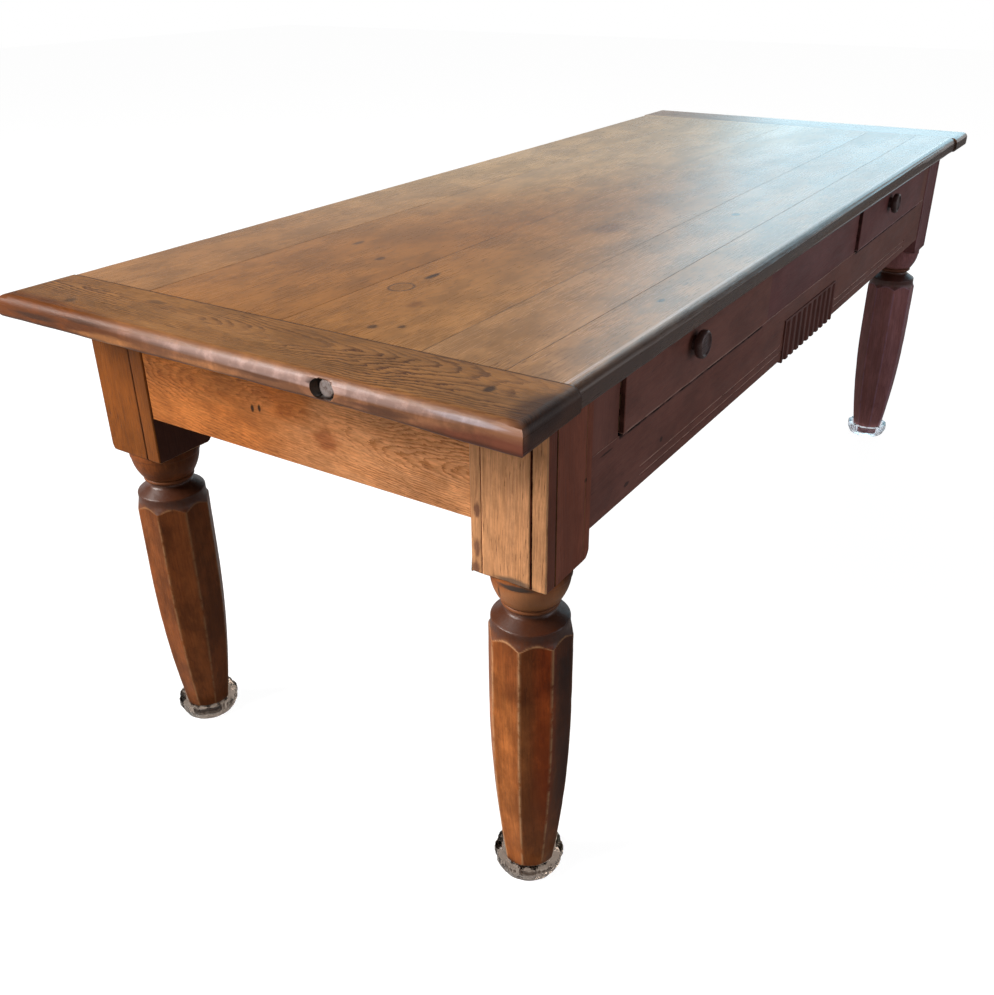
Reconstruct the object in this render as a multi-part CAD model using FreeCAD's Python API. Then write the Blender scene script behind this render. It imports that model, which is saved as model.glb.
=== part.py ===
import FreeCAD, Part
import math
import os

# A farmhouse table: a plank top with breadboard ends, four octagonal legs standing in glass cups, and
# two drawers in the front apron. Millimetres, +Z up, X along the table, the drawers open towards -Y.
# The origin is on the floor under the middle of the top. Left is -X, right is +X.

# Top
TABLE_HEIGHT = 775.0
TABLE_LENGTH = 2120.0
TOP_THICKNESS = 32.0
PLANK_1_WIDTH = 164.0
PLANK_2_WIDTH = 242.0
PLANK_3_WIDTH = 217.0
PLANK_4_WIDTH = 115.0
PLANK_5_WIDTH = 92.0
LONG_EDGE_HOLLOW = 5.0
TOP_EDGE_ROUND = 13.0
BOTTOM_EDGE_ROUND = 7.0

# Breadboard ends, with a tongue on the planks and one bolt each
BREADBOARD_WIDTH = 119.0
BREADBOARD_PROUD = 4.0
TONGUE_LENGTH = 30.0
TONGUE_THICKNESS = 10.0
TONGUE_END_STOP = 25.0
BOLT_OFFSET = 164.0
BOLT_DIAMETER = 9.0
BOLT_HEAD_DIAMETER = 22.0
BOLT_HEAD_HEIGHT = 8.0
BOLT_HEAD_SUNK = 5.0
BOLT_SLOT_PLAY = 4.0
BOLT_REACH = 62.0
NUT_WIDTH = 18.0
NUT_THICKNESS = 9.0

# Legs: a grooved block, a turned part below it and an octagonal tapered shaft
LEG_BLOCK_WIDTH = 106.0
LEG_BLOCK_HEIGHT = 234.0
END_OVERHANG = 108.0
SIDE_OVERHANG = 30.0
GROOVE_WIDTH = 3.2
GROOVE_DEPTH = 3.0
SEAM_WIDTH = 1.2
CORNER_STRIP_WIDTH = 21.0
INNER_STRIP_WIDTH = 16.0
BACK_LEG_STRIP_WIDTH = 27.0
COLLAR_HEIGHT = 10.0
OVOLO_HEIGHT = 36.0
OVOLO_FOOT_RADIUS = 39.0
OVOLO_FULLNESS = 3.5
BEAD_HEIGHT = 9.0
BEAD_REACH = 6.5
NECK_RADIUS = 32.0
NECK_HEIGHT = 1.5
SCOTIA_RADIUS = 8.0
SHOULDER_SLOPE = 33.0
SHOULDER_INSET = 1.2
SHOULDER_ROUNDING = 3.0
SHOULDER_DRUM_HEIGHT = 5.7
SHOULDER_FLARE_RADIUS = 25.7
SHOULDER_MARGIN = 0.4
SHAFT_STRAIGHT_LENGTH = 111.5
FOOT_WIDTH = 64.0
OCTAGON_SIDES = 8

# Glass cups under the feet
CUP_DIAMETER = 100.0
CUP_BASE_DIAMETER = 86.0
CUP_HEIGHT = 28.0
CUP_FLOOR = 10.0
CUP_WALL_HEIGHT = 12.0
CUP_LOBES = 12
LOBE_NOTCH_RADIUS = 9.0
LOBE_NOTCH_DEPTH = 2.5
CUP_CLEARANCE = 1.5

# Aprons and their mortise and tenon joints
APRON_THICKNESS = 28.0
APRON_SETBACK = 2.0
END_APRON_HEIGHT = 161.0
LONG_APRON_HEIGHT = 197.0
FRONT_RAIL_HEIGHT = 99.0
FRONT_STILE_WIDTH = 70.0
TENON_LENGTH = 45.0
TENON_THICKNESS = 10.0
TENON_SHOULDER = 18.0
RAIL_TONGUE = 10.0
JOINT_GAP = 0.2
SCRATCH_LINE_RADIUS = 1.6
LOWER_LINE_RISE = 16.0
UPPER_LINE_RISE = 29.0
LINE_TURN_RADIUS = 24.0
LINE_END_MARGIN = 140.0

# Fluted block let into the middle of each long apron
FLUTED_BLOCK_WIDTH = 288.0
FLUTED_BLOCK_RISE = 71.0
FLUTED_BLOCK_DROP = 5.0
FLUTED_BLOCK_DEPTH = 12.0
FLUTED_BLOCK_PROUD = 2.0
FLUTE_COUNT = 10
FLUTE_RADIUS = 9.0
FLUTE_DEPTH = 5.5
FLUTE_TOP_MARGIN = 3.0

# Bearers under the top and their screws
BEARER_WIDTH = 44.0
BEARER_HEIGHT = 30.0
STUB_TENON_LENGTH = 12.0
STUB_TENON_SHOULDER = 7.0
SCREW_DIAMETER = 5.0
SCREW_HEAD_DIAMETER = 10.0
SCREW_BITE = 18.0
ROUND_GAP = 0.3

# Drawers
DRAWER_WIDTH = 512.0
DRAWER_SIDE_GAP = 4.0
DRAWER_EDGE_GAP = 3.0
DRAWER_DEPTH = 460.0
DRAWER_PROUD = 6.0
DRAWER_FRONT_THICKNESS = 26.0
DRAWER_FRONT_LAP = 8.0
DRAWER_SIDE_THICKNESS = 12.0
DRAWER_SIDE_DROP = 6.0
DRAWER_BACK_THICKNESS = 12.0
DRAWER_BACK_INSET = 10.0
DRAWER_BACK_HOUSING = 5.0
DRAWER_BOTTOM_THICKNESS = 8.0
DRAWER_BOTTOM_RISE = 9.0
DRAWER_BOTTOM_GROOVE = 6.0
DOVETAIL_COUNT = 3
DOVETAIL_SHARE = 0.62
DOVETAIL_SLOPE = 1.0 / 6.0
FRONT_EDGE_ROUND = 1.5

# Drawer knobs, set a little towards the left of each front
KNOB_DIAMETER = 40.0
KNOB_LENGTH = 18.0
KNOB_NECK_DIAMETER = 22.0
KNOB_NECK_LENGTH = 6.0
KNOB_RIM = 5.0
KNOB_DISH = 2.5
KNOB_ROUND = 3.5
KNOB_SHIFT = -48.0
KNOB_RISE = 12.0
KNOB_SCREW_DIAMETER = 4.5
KNOB_SCREW_HEAD_DIAMETER = 9.0
KNOB_SCREW_HEAD_HEIGHT = 2.5
KNOB_SCREW_BITE = 10.0

# Drawer runners, guides and stops
RUNNER_INNER_WIDTH = 30.0
RUNNER_HEIGHT = 25.0
RUNNING_GAP = 0.3
GUIDE_GAP = 0.5
GUIDE_THICKNESS = 14.0
GUIDE_HEIGHT = 28.0
STOP_LENGTH = 22.0
STOP_HEIGHT = 18.0

# Levels and places that follow from the sizes above
TOP_UNDERSIDE = TABLE_HEIGHT - TOP_THICKNESS
TOP_MIDDLE = TABLE_HEIGHT - TOP_THICKNESS / 2
PLANK_WIDTHS = (PLANK_1_WIDTH, PLANK_2_WIDTH, PLANK_3_WIDTH, PLANK_4_WIDTH, PLANK_5_WIDTH)
TOP_WIDTH = sum(PLANK_WIDTHS)
PLANK_END_X = TABLE_LENGTH / 2 - BREADBOARD_WIDTH
FRAME_X = TABLE_LENGTH / 2 - END_OVERHANG
FRAME_Y = TOP_WIDTH / 2 - SIDE_OVERHANG
LEG_INNER_X = FRAME_X - LEG_BLOCK_WIDTH
LEG_INNER_Y = FRAME_Y - LEG_BLOCK_WIDTH
BLOCK_BOTTOM = TOP_UNDERSIDE - LEG_BLOCK_HEIGHT
APRON_FACE_X = FRAME_X - APRON_SETBACK
APRON_FACE_Y = FRAME_Y - APRON_SETBACK
APRON_INNER_Y = APRON_FACE_Y - APRON_THICKNESS
END_APRON_BOTTOM = TOP_UNDERSIDE - END_APRON_HEIGHT
LONG_APRON_BOTTOM = TOP_UNDERSIDE - LONG_APRON_HEIGHT
FRONT_RAIL_TOP = LONG_APRON_BOTTOM + FRONT_RAIL_HEIGHT
STILE_INNER_X = LEG_INNER_X - FRONT_STILE_WIDTH
DRAWER_CENTRE_X = STILE_INNER_X - DRAWER_SIDE_GAP - DRAWER_WIDTH / 2
PANEL_HALF_WIDTH = DRAWER_CENTRE_X - DRAWER_WIDTH / 2 - DRAWER_SIDE_GAP
DRAWER_FRONT_Y = -APRON_FACE_Y - DRAWER_PROUD
DRAWER_BOTTOM_Z = FRONT_RAIL_TOP + DRAWER_EDGE_GAP
DRAWER_TOP_Z = TOP_UNDERSIDE - DRAWER_EDGE_GAP
DRAWER_SIDE_TOP_Z = DRAWER_TOP_Z - DRAWER_SIDE_DROP
DRAWER_BACK_Y = DRAWER_FRONT_Y + DRAWER_DEPTH
RUNNER_TOP = DRAWER_BOTTOM_Z - RUNNING_GAP
OUTER_BEARER_X = STILE_INNER_X + FRONT_STILE_WIDTH / 2
BEARER_PLACES = (-OUTER_BEARER_X, 0.0, OUTER_BEARER_X)
SIDES = {"left": -1, "right": 1}
FACES = {"front": -1, "back": 1}
UP = FreeCAD.Vector(0, 0, 1)
ORIGIN = FreeCAD.Vector(0, 0, 0)


def span_box(x_span, y_span, z_span):
    """A box between two limits along each axis, given in either order."""
    low = [min(span) for span in (x_span, y_span, z_span)]
    size = [abs(span[1] - span[0]) for span in (x_span, y_span, z_span)]
    return Part.makeBox(*size, FreeCAD.Vector(*low))


def rod(radius, start, end):
    """A cylinder between two points."""
    start = FreeCAD.Vector(*start)
    reach = FreeCAD.Vector(*end) - start
    return Part.makeCylinder(radius, reach.Length, start, reach)


def mirrored_x(shape):
    """The same shape on the other end of the table."""
    return shape.mirror(ORIGIN, FreeCAD.Vector(1, 0, 0))


def mirrored_y(shape):
    """The same shape on the other long side of the table."""
    return shape.mirror(ORIGIN, FreeCAD.Vector(0, 1, 0))


def cut_by(shape, tools):
    """The shape with every tool taken away from it."""
    return shape.cut(list(tools)).removeSplitter()


def turned(points):
    """A body turned about Z from (radius, height) points; a triple of points is an arc through them."""
    edges = []
    last = None
    for item in points:
        bends = isinstance(item[0], tuple)
        stops = [FreeCAD.Vector(r, 0, z) for r, z in (item if bends else (item,))]
        if last is not None and not last.isEqual(stops[0], 1e-7):
            edges.append(Part.LineSegment(last, stops[0]).toShape())
        if bends:
            edges.append(Part.Arc(*stops).toShape())
        last = stops[-1]
    first = edges[0].Vertexes[0].Point
    edges.append(Part.LineSegment(last, first).toShape())
    return Part.Face(Part.Wire(edges)).revolve(ORIGIN, UP, 360)


# Top


def plank_limits():
    """The back and front Y of each plank, from the back edge to the front edge."""
    limits = []
    back = TOP_WIDTH / 2
    for width in PLANK_WIDTHS:
        limits.append((back, back - width))
        back -= width
    return limits


def edge_of_plank(y, outer):
    """One long edge of a plank from left to right, hollowed a little where it is an outer edge."""
    start = FreeCAD.Vector(-PLANK_END_X, y, TOP_UNDERSIDE)
    end = FreeCAD.Vector(PLANK_END_X, y, TOP_UNDERSIDE)
    if not outer:
        return Part.LineSegment(start, end).toShape()
    middle = FreeCAD.Vector(0, y - math.copysign(LONG_EDGE_HOLLOW, y), TOP_UNDERSIDE)
    return Part.Arc(start, middle, end).toShape()


def rounded_rim(board, on_rim):
    """The board with its upper and lower rim edges rounded, where on_rim accepts the edge."""
    upper = [edge for edge in board.Edges if on_rim(edge) and level(edge, TABLE_HEIGHT)]
    board = board.makeFillet(TOP_EDGE_ROUND, upper)
    lower = [edge for edge in board.Edges if on_rim(edge) and level(edge, TOP_UNDERSIDE)]
    return board.makeFillet(BOTTOM_EDGE_ROUND, lower)


def level(edge, height):
    """Whether an edge lies flat at a height."""
    box = edge.BoundBox
    return abs(box.ZMin - height) < 1e-4 and abs(box.ZMax - height) < 1e-4


def plank(back, front, bolt_tools, screw_tools):
    """One plank with a tongue on each end, and the holes for the bolts and screws that reach it."""
    half_width = TOP_WIDTH / 2
    back_outer = abs(back - half_width) < 1e-6
    front_outer = abs(front + half_width) < 1e-6
    back_edge = edge_of_plank(back, back_outer)
    front_edge = edge_of_plank(front, front_outer)
    ends = [
        Part.LineSegment(back_edge.Vertexes[i].Point, front_edge.Vertexes[i].Point).toShape()
        for i in (0, 1)
    ]
    outline = Part.Wire(Part.__sortEdges__([back_edge, front_edge] + ends))
    board = Part.Face(outline).extrude(UP * TOP_THICKNESS)
    if back_outer or front_outer:
        outer_y = back if back_outer else front
        board = rounded_rim(board, lambda edge: on_long_edge(edge, outer_y))
    tongue_back = min(back, half_width - TONGUE_END_STOP)
    tongue_front = max(front, TONGUE_END_STOP - half_width)
    tongue_z = (TOP_MIDDLE - TONGUE_THICKNESS / 2, TOP_MIDDLE + TONGUE_THICKNESS / 2)
    for sign in SIDES.values():
        reach = (sign * PLANK_END_X, sign * (PLANK_END_X + TONGUE_LENGTH))
        board = board.fuse(span_box(reach, (tongue_back, tongue_front), tongue_z))
    return cut_by(board, bolt_tools + screw_tools)


def on_long_edge(edge, y):
    """Whether an edge runs along the table at the outer long edge."""
    return edge.BoundBox.XLength > PLANK_END_X and abs(edge.Vertexes[0].Point.y - y) < 1e-4


def breadboard(bolt_tools):
    """The left breadboard end, with its stopped groove and the bolt's slot and hole."""
    half = TOP_WIDTH / 2 + BREADBOARD_PROUD
    left = -TABLE_LENGTH / 2
    board = span_box((left, -PLANK_END_X), (-half, half), (TOP_UNDERSIDE, TABLE_HEIGHT))
    board = rounded_rim(board, lambda edge: not on_joint_line(edge))
    groove_half_width = TOP_WIDTH / 2 - TONGUE_END_STOP + JOINT_GAP
    groove_half_height = TONGUE_THICKNESS / 2 + JOINT_GAP
    groove = span_box(
        (-PLANK_END_X - TONGUE_LENGTH - JOINT_GAP, -PLANK_END_X),
        (-groove_half_width, groove_half_width),
        (TOP_MIDDLE - groove_half_height, TOP_MIDDLE + groove_half_height),
    )
    return cut_by(board, [groove] + bolt_tools)


def on_joint_line(edge):
    """Whether an edge lies on the joint between the left breadboard end and the planks."""
    return edge.BoundBox.XMin > -PLANK_END_X - 1e-4


def bolt_frame():
    """The left bolt's head face, shank end and Y place."""
    head_face = -TABLE_LENGTH / 2 + BOLT_HEAD_SUNK
    return head_face, -PLANK_END_X + BOLT_REACH, -BOLT_OFFSET


def breadboard_bolt():
    """The left bolt: a round head and a plain shank into the plank."""
    head_face, end, y = bolt_frame()
    head_back = head_face + BOLT_HEAD_HEIGHT
    head = rod(BOLT_HEAD_DIAMETER / 2, (head_face, y, TOP_MIDDLE), (head_back, y, TOP_MIDDLE))
    rim = [edge for edge in head.Edges if edge.BoundBox.XMax < head_face + 1e-4]
    head = head.makeFillet(BOLT_HEAD_HEIGHT / 3, rim)
    shank = rod(BOLT_DIAMETER / 2, (head_back, y, TOP_MIDDLE), (end, y, TOP_MIDDLE))
    return head.fuse(shank).removeSplitter()


def nut_span():
    """The left nut's limits along X, at the end of the bolt."""
    end = bolt_frame()[1]
    return end - NUT_THICKNESS, end


def breadboard_nut():
    """The left square nut, let in from under the plank."""
    y = bolt_frame()[2]
    half = NUT_WIDTH / 2
    block = span_box(nut_span(), (y - half, y + half), (TOP_MIDDLE - half, TOP_MIDDLE + half))
    start, end = nut_span()
    hole = rod(BOLT_DIAMETER / 2 + ROUND_GAP, (start, y, TOP_MIDDLE), (end, y, TOP_MIDDLE))
    return block.cut(hole)


def left_bolt_tools():
    """Cutting tools for the left bolt: oblong slot for the head, shank hole, and the nut's pocket."""
    head_face, end, y = bolt_frame()
    head_back = head_face + BOLT_HEAD_HEIGHT
    slot_radius = BOLT_HEAD_DIAMETER / 2 + ROUND_GAP
    outside = -TABLE_LENGTH / 2 - slot_radius
    slot = [
        rod(slot_radius, (outside, y + shift, TOP_MIDDLE), (head_back, y + shift, TOP_MIDDLE))
        for shift in (-BOLT_SLOT_PLAY, BOLT_SLOT_PLAY)
    ]
    slot.append(span_box(
        (outside, head_back),
        (y - BOLT_SLOT_PLAY, y + BOLT_SLOT_PLAY),
        (TOP_MIDDLE - slot_radius, TOP_MIDDLE + slot_radius),
    ))
    hole_end = end + JOINT_GAP
    hole = rod(BOLT_DIAMETER / 2 + ROUND_GAP, (head_back, y, TOP_MIDDLE), (hole_end, y, TOP_MIDDLE))
    half = NUT_WIDTH / 2 + JOINT_GAP
    start, end = nut_span()
    pocket = span_box(
        (start - JOINT_GAP, end + JOINT_GAP),
        (y - half, y + half),
        (TOP_UNDERSIDE, TOP_MIDDLE + half),
    )
    return slot + [hole, pocket]


# Bearers and screws


def screw_places():
    """Where each bearer's screws go: one into every plank that passes over the bearer."""
    places = []
    for x in BEARER_PLACES:
        for back, front in plank_limits():
            high = min(back, APRON_INNER_Y)
            low = max(front, -APRON_INNER_Y)
            places.append((x, (high + low) / 2))
    return places


def screw(x, y, gap):
    """A countersunk wood screw driven up through a bearer into a plank, swollen by a gap."""
    foot = TOP_UNDERSIDE - BEARER_HEIGHT
    head_radius = SCREW_HEAD_DIAMETER / 2
    shank_radius = SCREW_DIAMETER / 2
    sink = head_radius - shank_radius
    head = Part.makeCone(head_radius + gap, shank_radius + gap, sink, FreeCAD.Vector(x, y, foot))
    tip = TOP_UNDERSIDE + SCREW_BITE + gap
    return head.fuse(rod(shank_radius + gap, (x, y, foot + sink), (x, y, tip))).removeSplitter()


def stub(x_span, z_span, face_y, sign):
    """A stub tenon standing out of a rail's end at an apron's inner face."""
    return span_box(x_span, (sign * face_y, sign * (face_y + STUB_TENON_LENGTH)), z_span)


def bearer_stubs(x, gap):
    """The two stub tenons of the bearer at x, swollen by a gap."""
    half = BEARER_WIDTH / 2 - STUB_TENON_SHOULDER + gap
    low = TOP_UNDERSIDE - BEARER_HEIGHT + STUB_TENON_SHOULDER - gap
    high = TOP_UNDERSIDE - STUB_TENON_SHOULDER + gap
    return [stub((x - half, x + half), (low, high), APRON_INNER_Y, sign) for sign in (-1, 1)]


def bearer(x, screw_tools):
    """A bearer across the frame, close under the planks."""
    body = span_box(
        (x - BEARER_WIDTH / 2, x + BEARER_WIDTH / 2),
        (-APRON_INNER_Y, APRON_INNER_Y),
        (TOP_UNDERSIDE - BEARER_HEIGHT, TOP_UNDERSIDE),
    )
    return cut_by(body.fuse(bearer_stubs(x, 0.0)), screw_tools)


# Legs


def taper_radius():
    """The radius of the shaft's barrel curve, upright where the straight stretch ends."""
    length = shaft_curve_top() - CUP_FLOOR
    drop = (LEG_BLOCK_WIDTH - FOOT_WIDTH) / 2
    return (length ** 2 + drop ** 2) / (2 * drop)


def shaft_half_width(height):
    """Half of the octagonal shaft's width across its flats at a height."""
    depth = max(0.0, shaft_curve_top() - height)
    radius = taper_radius()
    return LEG_BLOCK_WIDTH / 2 - radius + math.sqrt(radius ** 2 - depth ** 2)


def corner_radius(half_width):
    """The distance of an octagon's corners from its middle."""
    return half_width / math.cos(math.pi / OCTAGON_SIDES)


def neck_levels():
    """The heights of the ovolo's foot, the bead's foot and the neck's foot."""
    ovolo_foot = BLOCK_BOTTOM - COLLAR_HEIGHT - OVOLO_HEIGHT
    bead_foot = ovolo_foot - BEAD_HEIGHT
    return ovolo_foot, bead_foot, bead_foot - NECK_HEIGHT


def scotia_end():
    """Where the scotia under the neck runs out into the shoulder's slope."""
    slope = math.radians(SHOULDER_SLOPE)
    radius = NECK_RADIUS + SCOTIA_RADIUS * (1 - math.sin(slope))
    return radius, neck_levels()[2] - SCOTIA_RADIUS * math.cos(slope)


def shoulder_drum():
    """The shoulder's upright band: its radius, its top under the rounded rim, and its foot."""
    radius = LEG_BLOCK_WIDTH / 2 - SHOULDER_INSET
    inner_r, inner_z = scotia_end()
    corner_z = inner_z - (radius - inner_r) * math.tan(math.radians(SHOULDER_SLOPE))
    top = corner_z - SHOULDER_ROUNDING * math.tan(math.radians(90.0 - SHOULDER_SLOPE) / 2)
    return radius, top, top - SHOULDER_DRUM_HEIGHT


def shoulder_foot():
    """Where the shoulder's flare has reached past the octagon's corners."""
    radius, _, drum_foot = shoulder_drum()
    reach = corner_radius(LEG_BLOCK_WIDTH / 2) + SHOULDER_MARGIN
    spread = SHOULDER_FLARE_RADIUS - (reach - radius)
    return reach, drum_foot - math.sqrt(SHOULDER_FLARE_RADIUS ** 2 - spread ** 2)


def shaft_curve_top():
    """The height where the straight stretch of the shaft ends and its taper begins."""
    return shoulder_foot()[1] - SHAFT_STRAIGHT_LENGTH


def arc_point(centre, radius, degrees):
    """A point on a circle in the (radius, height) plane."""
    angle = math.radians(degrees)
    return centre[0] + radius * math.cos(angle), centre[1] + radius * math.sin(angle)


def leg_turning():
    """The turned part under the block: collar, ovolo, bead, scotia, sloped shoulder, drum and flare."""
    ovolo_foot, bead_foot, neck_foot = neck_levels()
    block_radius = LEG_BLOCK_WIDTH / 2
    collar_foot = BLOCK_BOTTOM - COLLAR_HEIGHT
    ovolo_middle = (
        (block_radius + OVOLO_FOOT_RADIUS) / 2 + OVOLO_FULLNESS,
        (collar_foot + ovolo_foot) / 2 - OVOLO_FULLNESS,
    )
    bead_middle = (NECK_RADIUS + BEAD_REACH, (ovolo_foot + bead_foot) / 2)
    slope_turn = 90.0 - SHOULDER_SLOPE
    scotia_centre = (NECK_RADIUS + SCOTIA_RADIUS, neck_foot)
    drum_radius, drum_top, drum_foot = shoulder_drum()
    rim_centre = (drum_radius - SHOULDER_ROUNDING, drum_top)
    flare_centre = (drum_radius + SHOULDER_FLARE_RADIUS, drum_foot)
    foot = shoulder_foot()
    flare_turn = math.degrees(math.asin((drum_foot - foot[1]) / SHOULDER_FLARE_RADIUS))
    return turned([
        (0.0, BLOCK_BOTTOM),
        (block_radius, BLOCK_BOTTOM),
        ((block_radius, collar_foot), ovolo_middle, (OVOLO_FOOT_RADIUS, ovolo_foot)),
        ((NECK_RADIUS, ovolo_foot), bead_middle, (NECK_RADIUS, bead_foot)),
        ((NECK_RADIUS, neck_foot), arc_point(scotia_centre, SCOTIA_RADIUS, 180.0 + slope_turn / 2), scotia_end()),
        (
            arc_point(rim_centre, SHOULDER_ROUNDING, slope_turn),
            arc_point(rim_centre, SHOULDER_ROUNDING, slope_turn / 2),
            (drum_radius, drum_top),
        ),
        ((drum_radius, drum_foot), arc_point(flare_centre, SHOULDER_FLARE_RADIUS, 180.0 + flare_turn / 2), foot),
        (foot[0], CUP_FLOOR),
        (0.0, CUP_FLOOR),
    ])


def shaft_barrel():
    """The octagonal shaft with its barrel taper, tall enough to hold the whole turning."""
    half = LEG_BLOCK_WIDTH / 2
    curve_top = shaft_curve_top()
    middle_z = (curve_top + CUP_FLOOR) / 2
    corners = {
        sign: [
            FreeCAD.Vector(sign * half, 0, BLOCK_BOTTOM),
            FreeCAD.Vector(sign * half, 0, curve_top),
            FreeCAD.Vector(sign * shaft_half_width(middle_z), 0, middle_z),
            FreeCAD.Vector(sign * shaft_half_width(CUP_FLOOR), 0, CUP_FLOOR),
        ]
        for sign in (-1, 1)
    }
    left, right = corners[-1], corners[1]
    outline = Part.Wire([
        Part.LineSegment(left[0], left[1]).toShape(),
        Part.Arc(*left[1:]).toShape(),
        Part.LineSegment(left[3], right[3]).toShape(),
        Part.Arc(right[3], right[2], right[1]).toShape(),
        Part.LineSegment(right[1], right[0]).toShape(),
        Part.LineSegment(right[0], left[0]).toShape(),
    ])
    depth = FreeCAD.Vector(0, 2 * LEG_BLOCK_WIDTH, 0)
    slab = Part.Face(outline).extrude(depth)
    slab.translate(depth * -0.5)
    barrel = slab
    for turn in range(1, OCTAGON_SIDES // 2):
        facet_pair = slab.copy()
        facet_pair.rotate(ORIGIN, UP, turn * 360.0 / OCTAGON_SIDES)
        barrel = barrel.common(facet_pair)
    return barrel


def upright_cut(face, place, width):
    """A straight cut down the block's face towards -X or -Y, for a block about the Z axis."""
    half = LEG_BLOCK_WIDTH / 2
    into = (-half, GROOVE_DEPTH - half)
    across = (place - width / 2, place + width / 2)
    z_span = (BLOCK_BOTTOM, TOP_UNDERSIDE)
    return span_box(into, across, z_span) if face == "end" else span_box(across, into, z_span)


def front_leg_cuts():
    """A front leg's corner strip, grooved off on both outward faces, and a seam by each inner edge."""
    half = LEG_BLOCK_WIDTH / 2
    cuts = []
    for face in ("end", "side"):
        cuts.append(upright_cut(face, CORNER_STRIP_WIDTH - half, GROOVE_WIDTH))
        cuts.append(upright_cut(face, half - INNER_STRIP_WIDTH, SEAM_WIDTH))
    return cuts


def back_leg_cuts():
    """A back leg's one groove, on its end face beside the end apron."""
    return [upright_cut("end", LEG_BLOCK_WIDTH / 2 - BACK_LEG_STRIP_WIDTH, GROOVE_WIDTH)]


def leg(block_cuts, mortise_tools):
    """A left leg in the front leg's place, with the block cuts of a front or a back leg."""
    half = LEG_BLOCK_WIDTH / 2
    block = span_box((-half, half), (-half, half), (BLOCK_BOTTOM, TOP_UNDERSIDE))
    block = block.cut(block_cuts)
    shaft = leg_turning().common(shaft_barrel().fuse(leg_top_keep()))
    body = block.fuse(shaft).removeSplitter()
    body.translate(FreeCAD.Vector(half - FRAME_X, half - FRAME_Y, 0))
    return cut_by(body, mortise_tools)


def leg_top_keep():
    """The stretch above the shoulder, where the turning stays round."""
    keep_bottom = scotia_end()[1]
    return Part.makeCylinder(
        LEG_BLOCK_WIDTH, BLOCK_BOTTOM - keep_bottom, FreeCAD.Vector(0, 0, keep_bottom)
    )


# Glass cups


def glass_cup():
    """The front left cup: a flared round dish with a lobed wall and a recess for the foot."""
    outer = CUP_DIAMETER / 2
    recess = corner_radius(shaft_half_width(CUP_HEIGHT)) + CUP_CLEARANCE
    dish = turned([
        (0.0, 0.0),
        (CUP_BASE_DIAMETER / 2, 0.0),
        (outer, CUP_HEIGHT - CUP_WALL_HEIGHT),
        (outer, CUP_HEIGHT),
        (recess, CUP_HEIGHT),
        (recess, CUP_FLOOR),
        (0.0, CUP_FLOOR),
    ])
    notch = rod(
        LOBE_NOTCH_RADIUS,
        (outer + LOBE_NOTCH_RADIUS - LOBE_NOTCH_DEPTH, 0, 0),
        (outer + LOBE_NOTCH_RADIUS - LOBE_NOTCH_DEPTH, 0, CUP_HEIGHT),
    )
    notches = []
    for i in range(CUP_LOBES):
        turned_notch = notch.copy()
        turned_notch.rotate(ORIGIN, UP, (i + 0.5) * 360.0 / CUP_LOBES)
        notches.append(turned_notch)
    dish = cut_by(dish, notches)
    half = LEG_BLOCK_WIDTH / 2
    dish.translate(FreeCAD.Vector(half - FRAME_X, half - FRAME_Y, 0))
    return dish


# Aprons


def end_apron_tenons(gap):
    """The left end apron's two tenons, swollen by a gap."""
    middle = -APRON_FACE_X + APRON_THICKNESS / 2
    x_span = (middle - TENON_THICKNESS / 2 - gap, middle + TENON_THICKNESS / 2 + gap)
    z_span = (END_APRON_BOTTOM + TENON_SHOULDER - gap, TOP_UNDERSIDE - TENON_SHOULDER + gap)
    return [
        span_box(x_span, (sign * LEG_INNER_Y, sign * (LEG_INNER_Y + TENON_LENGTH + gap)), z_span)
        for sign in (-1, 1)
    ]


def end_apron():
    """The left end apron with a tenon at each end."""
    board = span_box(
        (-APRON_FACE_X, -APRON_FACE_X + APRON_THICKNESS),
        (-LEG_INNER_Y, LEG_INNER_Y),
        (END_APRON_BOTTOM, TOP_UNDERSIDE),
    )
    return board.fuse(end_apron_tenons(0.0)).removeSplitter()


def long_tenon(z_low, z_high, gap):
    """The left tenon of a front apron piece between two heights, swollen by a gap."""
    middle = -APRON_FACE_Y + APRON_THICKNESS / 2
    y_span = (middle - TENON_THICKNESS / 2 - gap, middle + TENON_THICKNESS / 2 + gap)
    x_span = (-LEG_INNER_X, -LEG_INNER_X - TENON_LENGTH - gap)
    return span_box(x_span, y_span, (z_low, z_high))


def long_mortise():
    """The mortise that a long apron's tenon needs in the front left leg."""
    low = LONG_APRON_BOTTOM + TENON_SHOULDER - JOINT_GAP
    return long_tenon(low, TOP_UNDERSIDE - TENON_SHOULDER + JOINT_GAP, JOINT_GAP)


def scratch_lines():
    """Tools for the two scratched lines on the left half of the front apron's lower edge."""
    face = -APRON_FACE_Y
    start = -LEG_INNER_X + LINE_END_MARGIN
    stop = -FLUTED_BLOCK_WIDTH / 2 - LINE_TURN_RADIUS
    lower = LONG_APRON_BOTTOM + LOWER_LINE_RISE
    upper = LONG_APRON_BOTTOM + UPPER_LINE_RISE
    centre = FreeCAD.Vector(stop, face, upper + LINE_TURN_RADIUS)
    bend = Part.makeTorus(LINE_TURN_RADIUS, SCRATCH_LINE_RADIUS, ORIGIN, UP, -180, 180, 90)
    bend.rotate(ORIGIN, FreeCAD.Vector(1, 0, 0), 90)
    bend.rotate(ORIGIN, FreeCAD.Vector(0, 1, 0), 90)
    bend.translate(centre)
    return [
        rod(SCRATCH_LINE_RADIUS, (start, face, lower), (-FLUTED_BLOCK_WIDTH / 2, face, lower)),
        rod(SCRATCH_LINE_RADIUS, (start, face, upper), (stop, face, upper)),
        bend,
    ]


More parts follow.
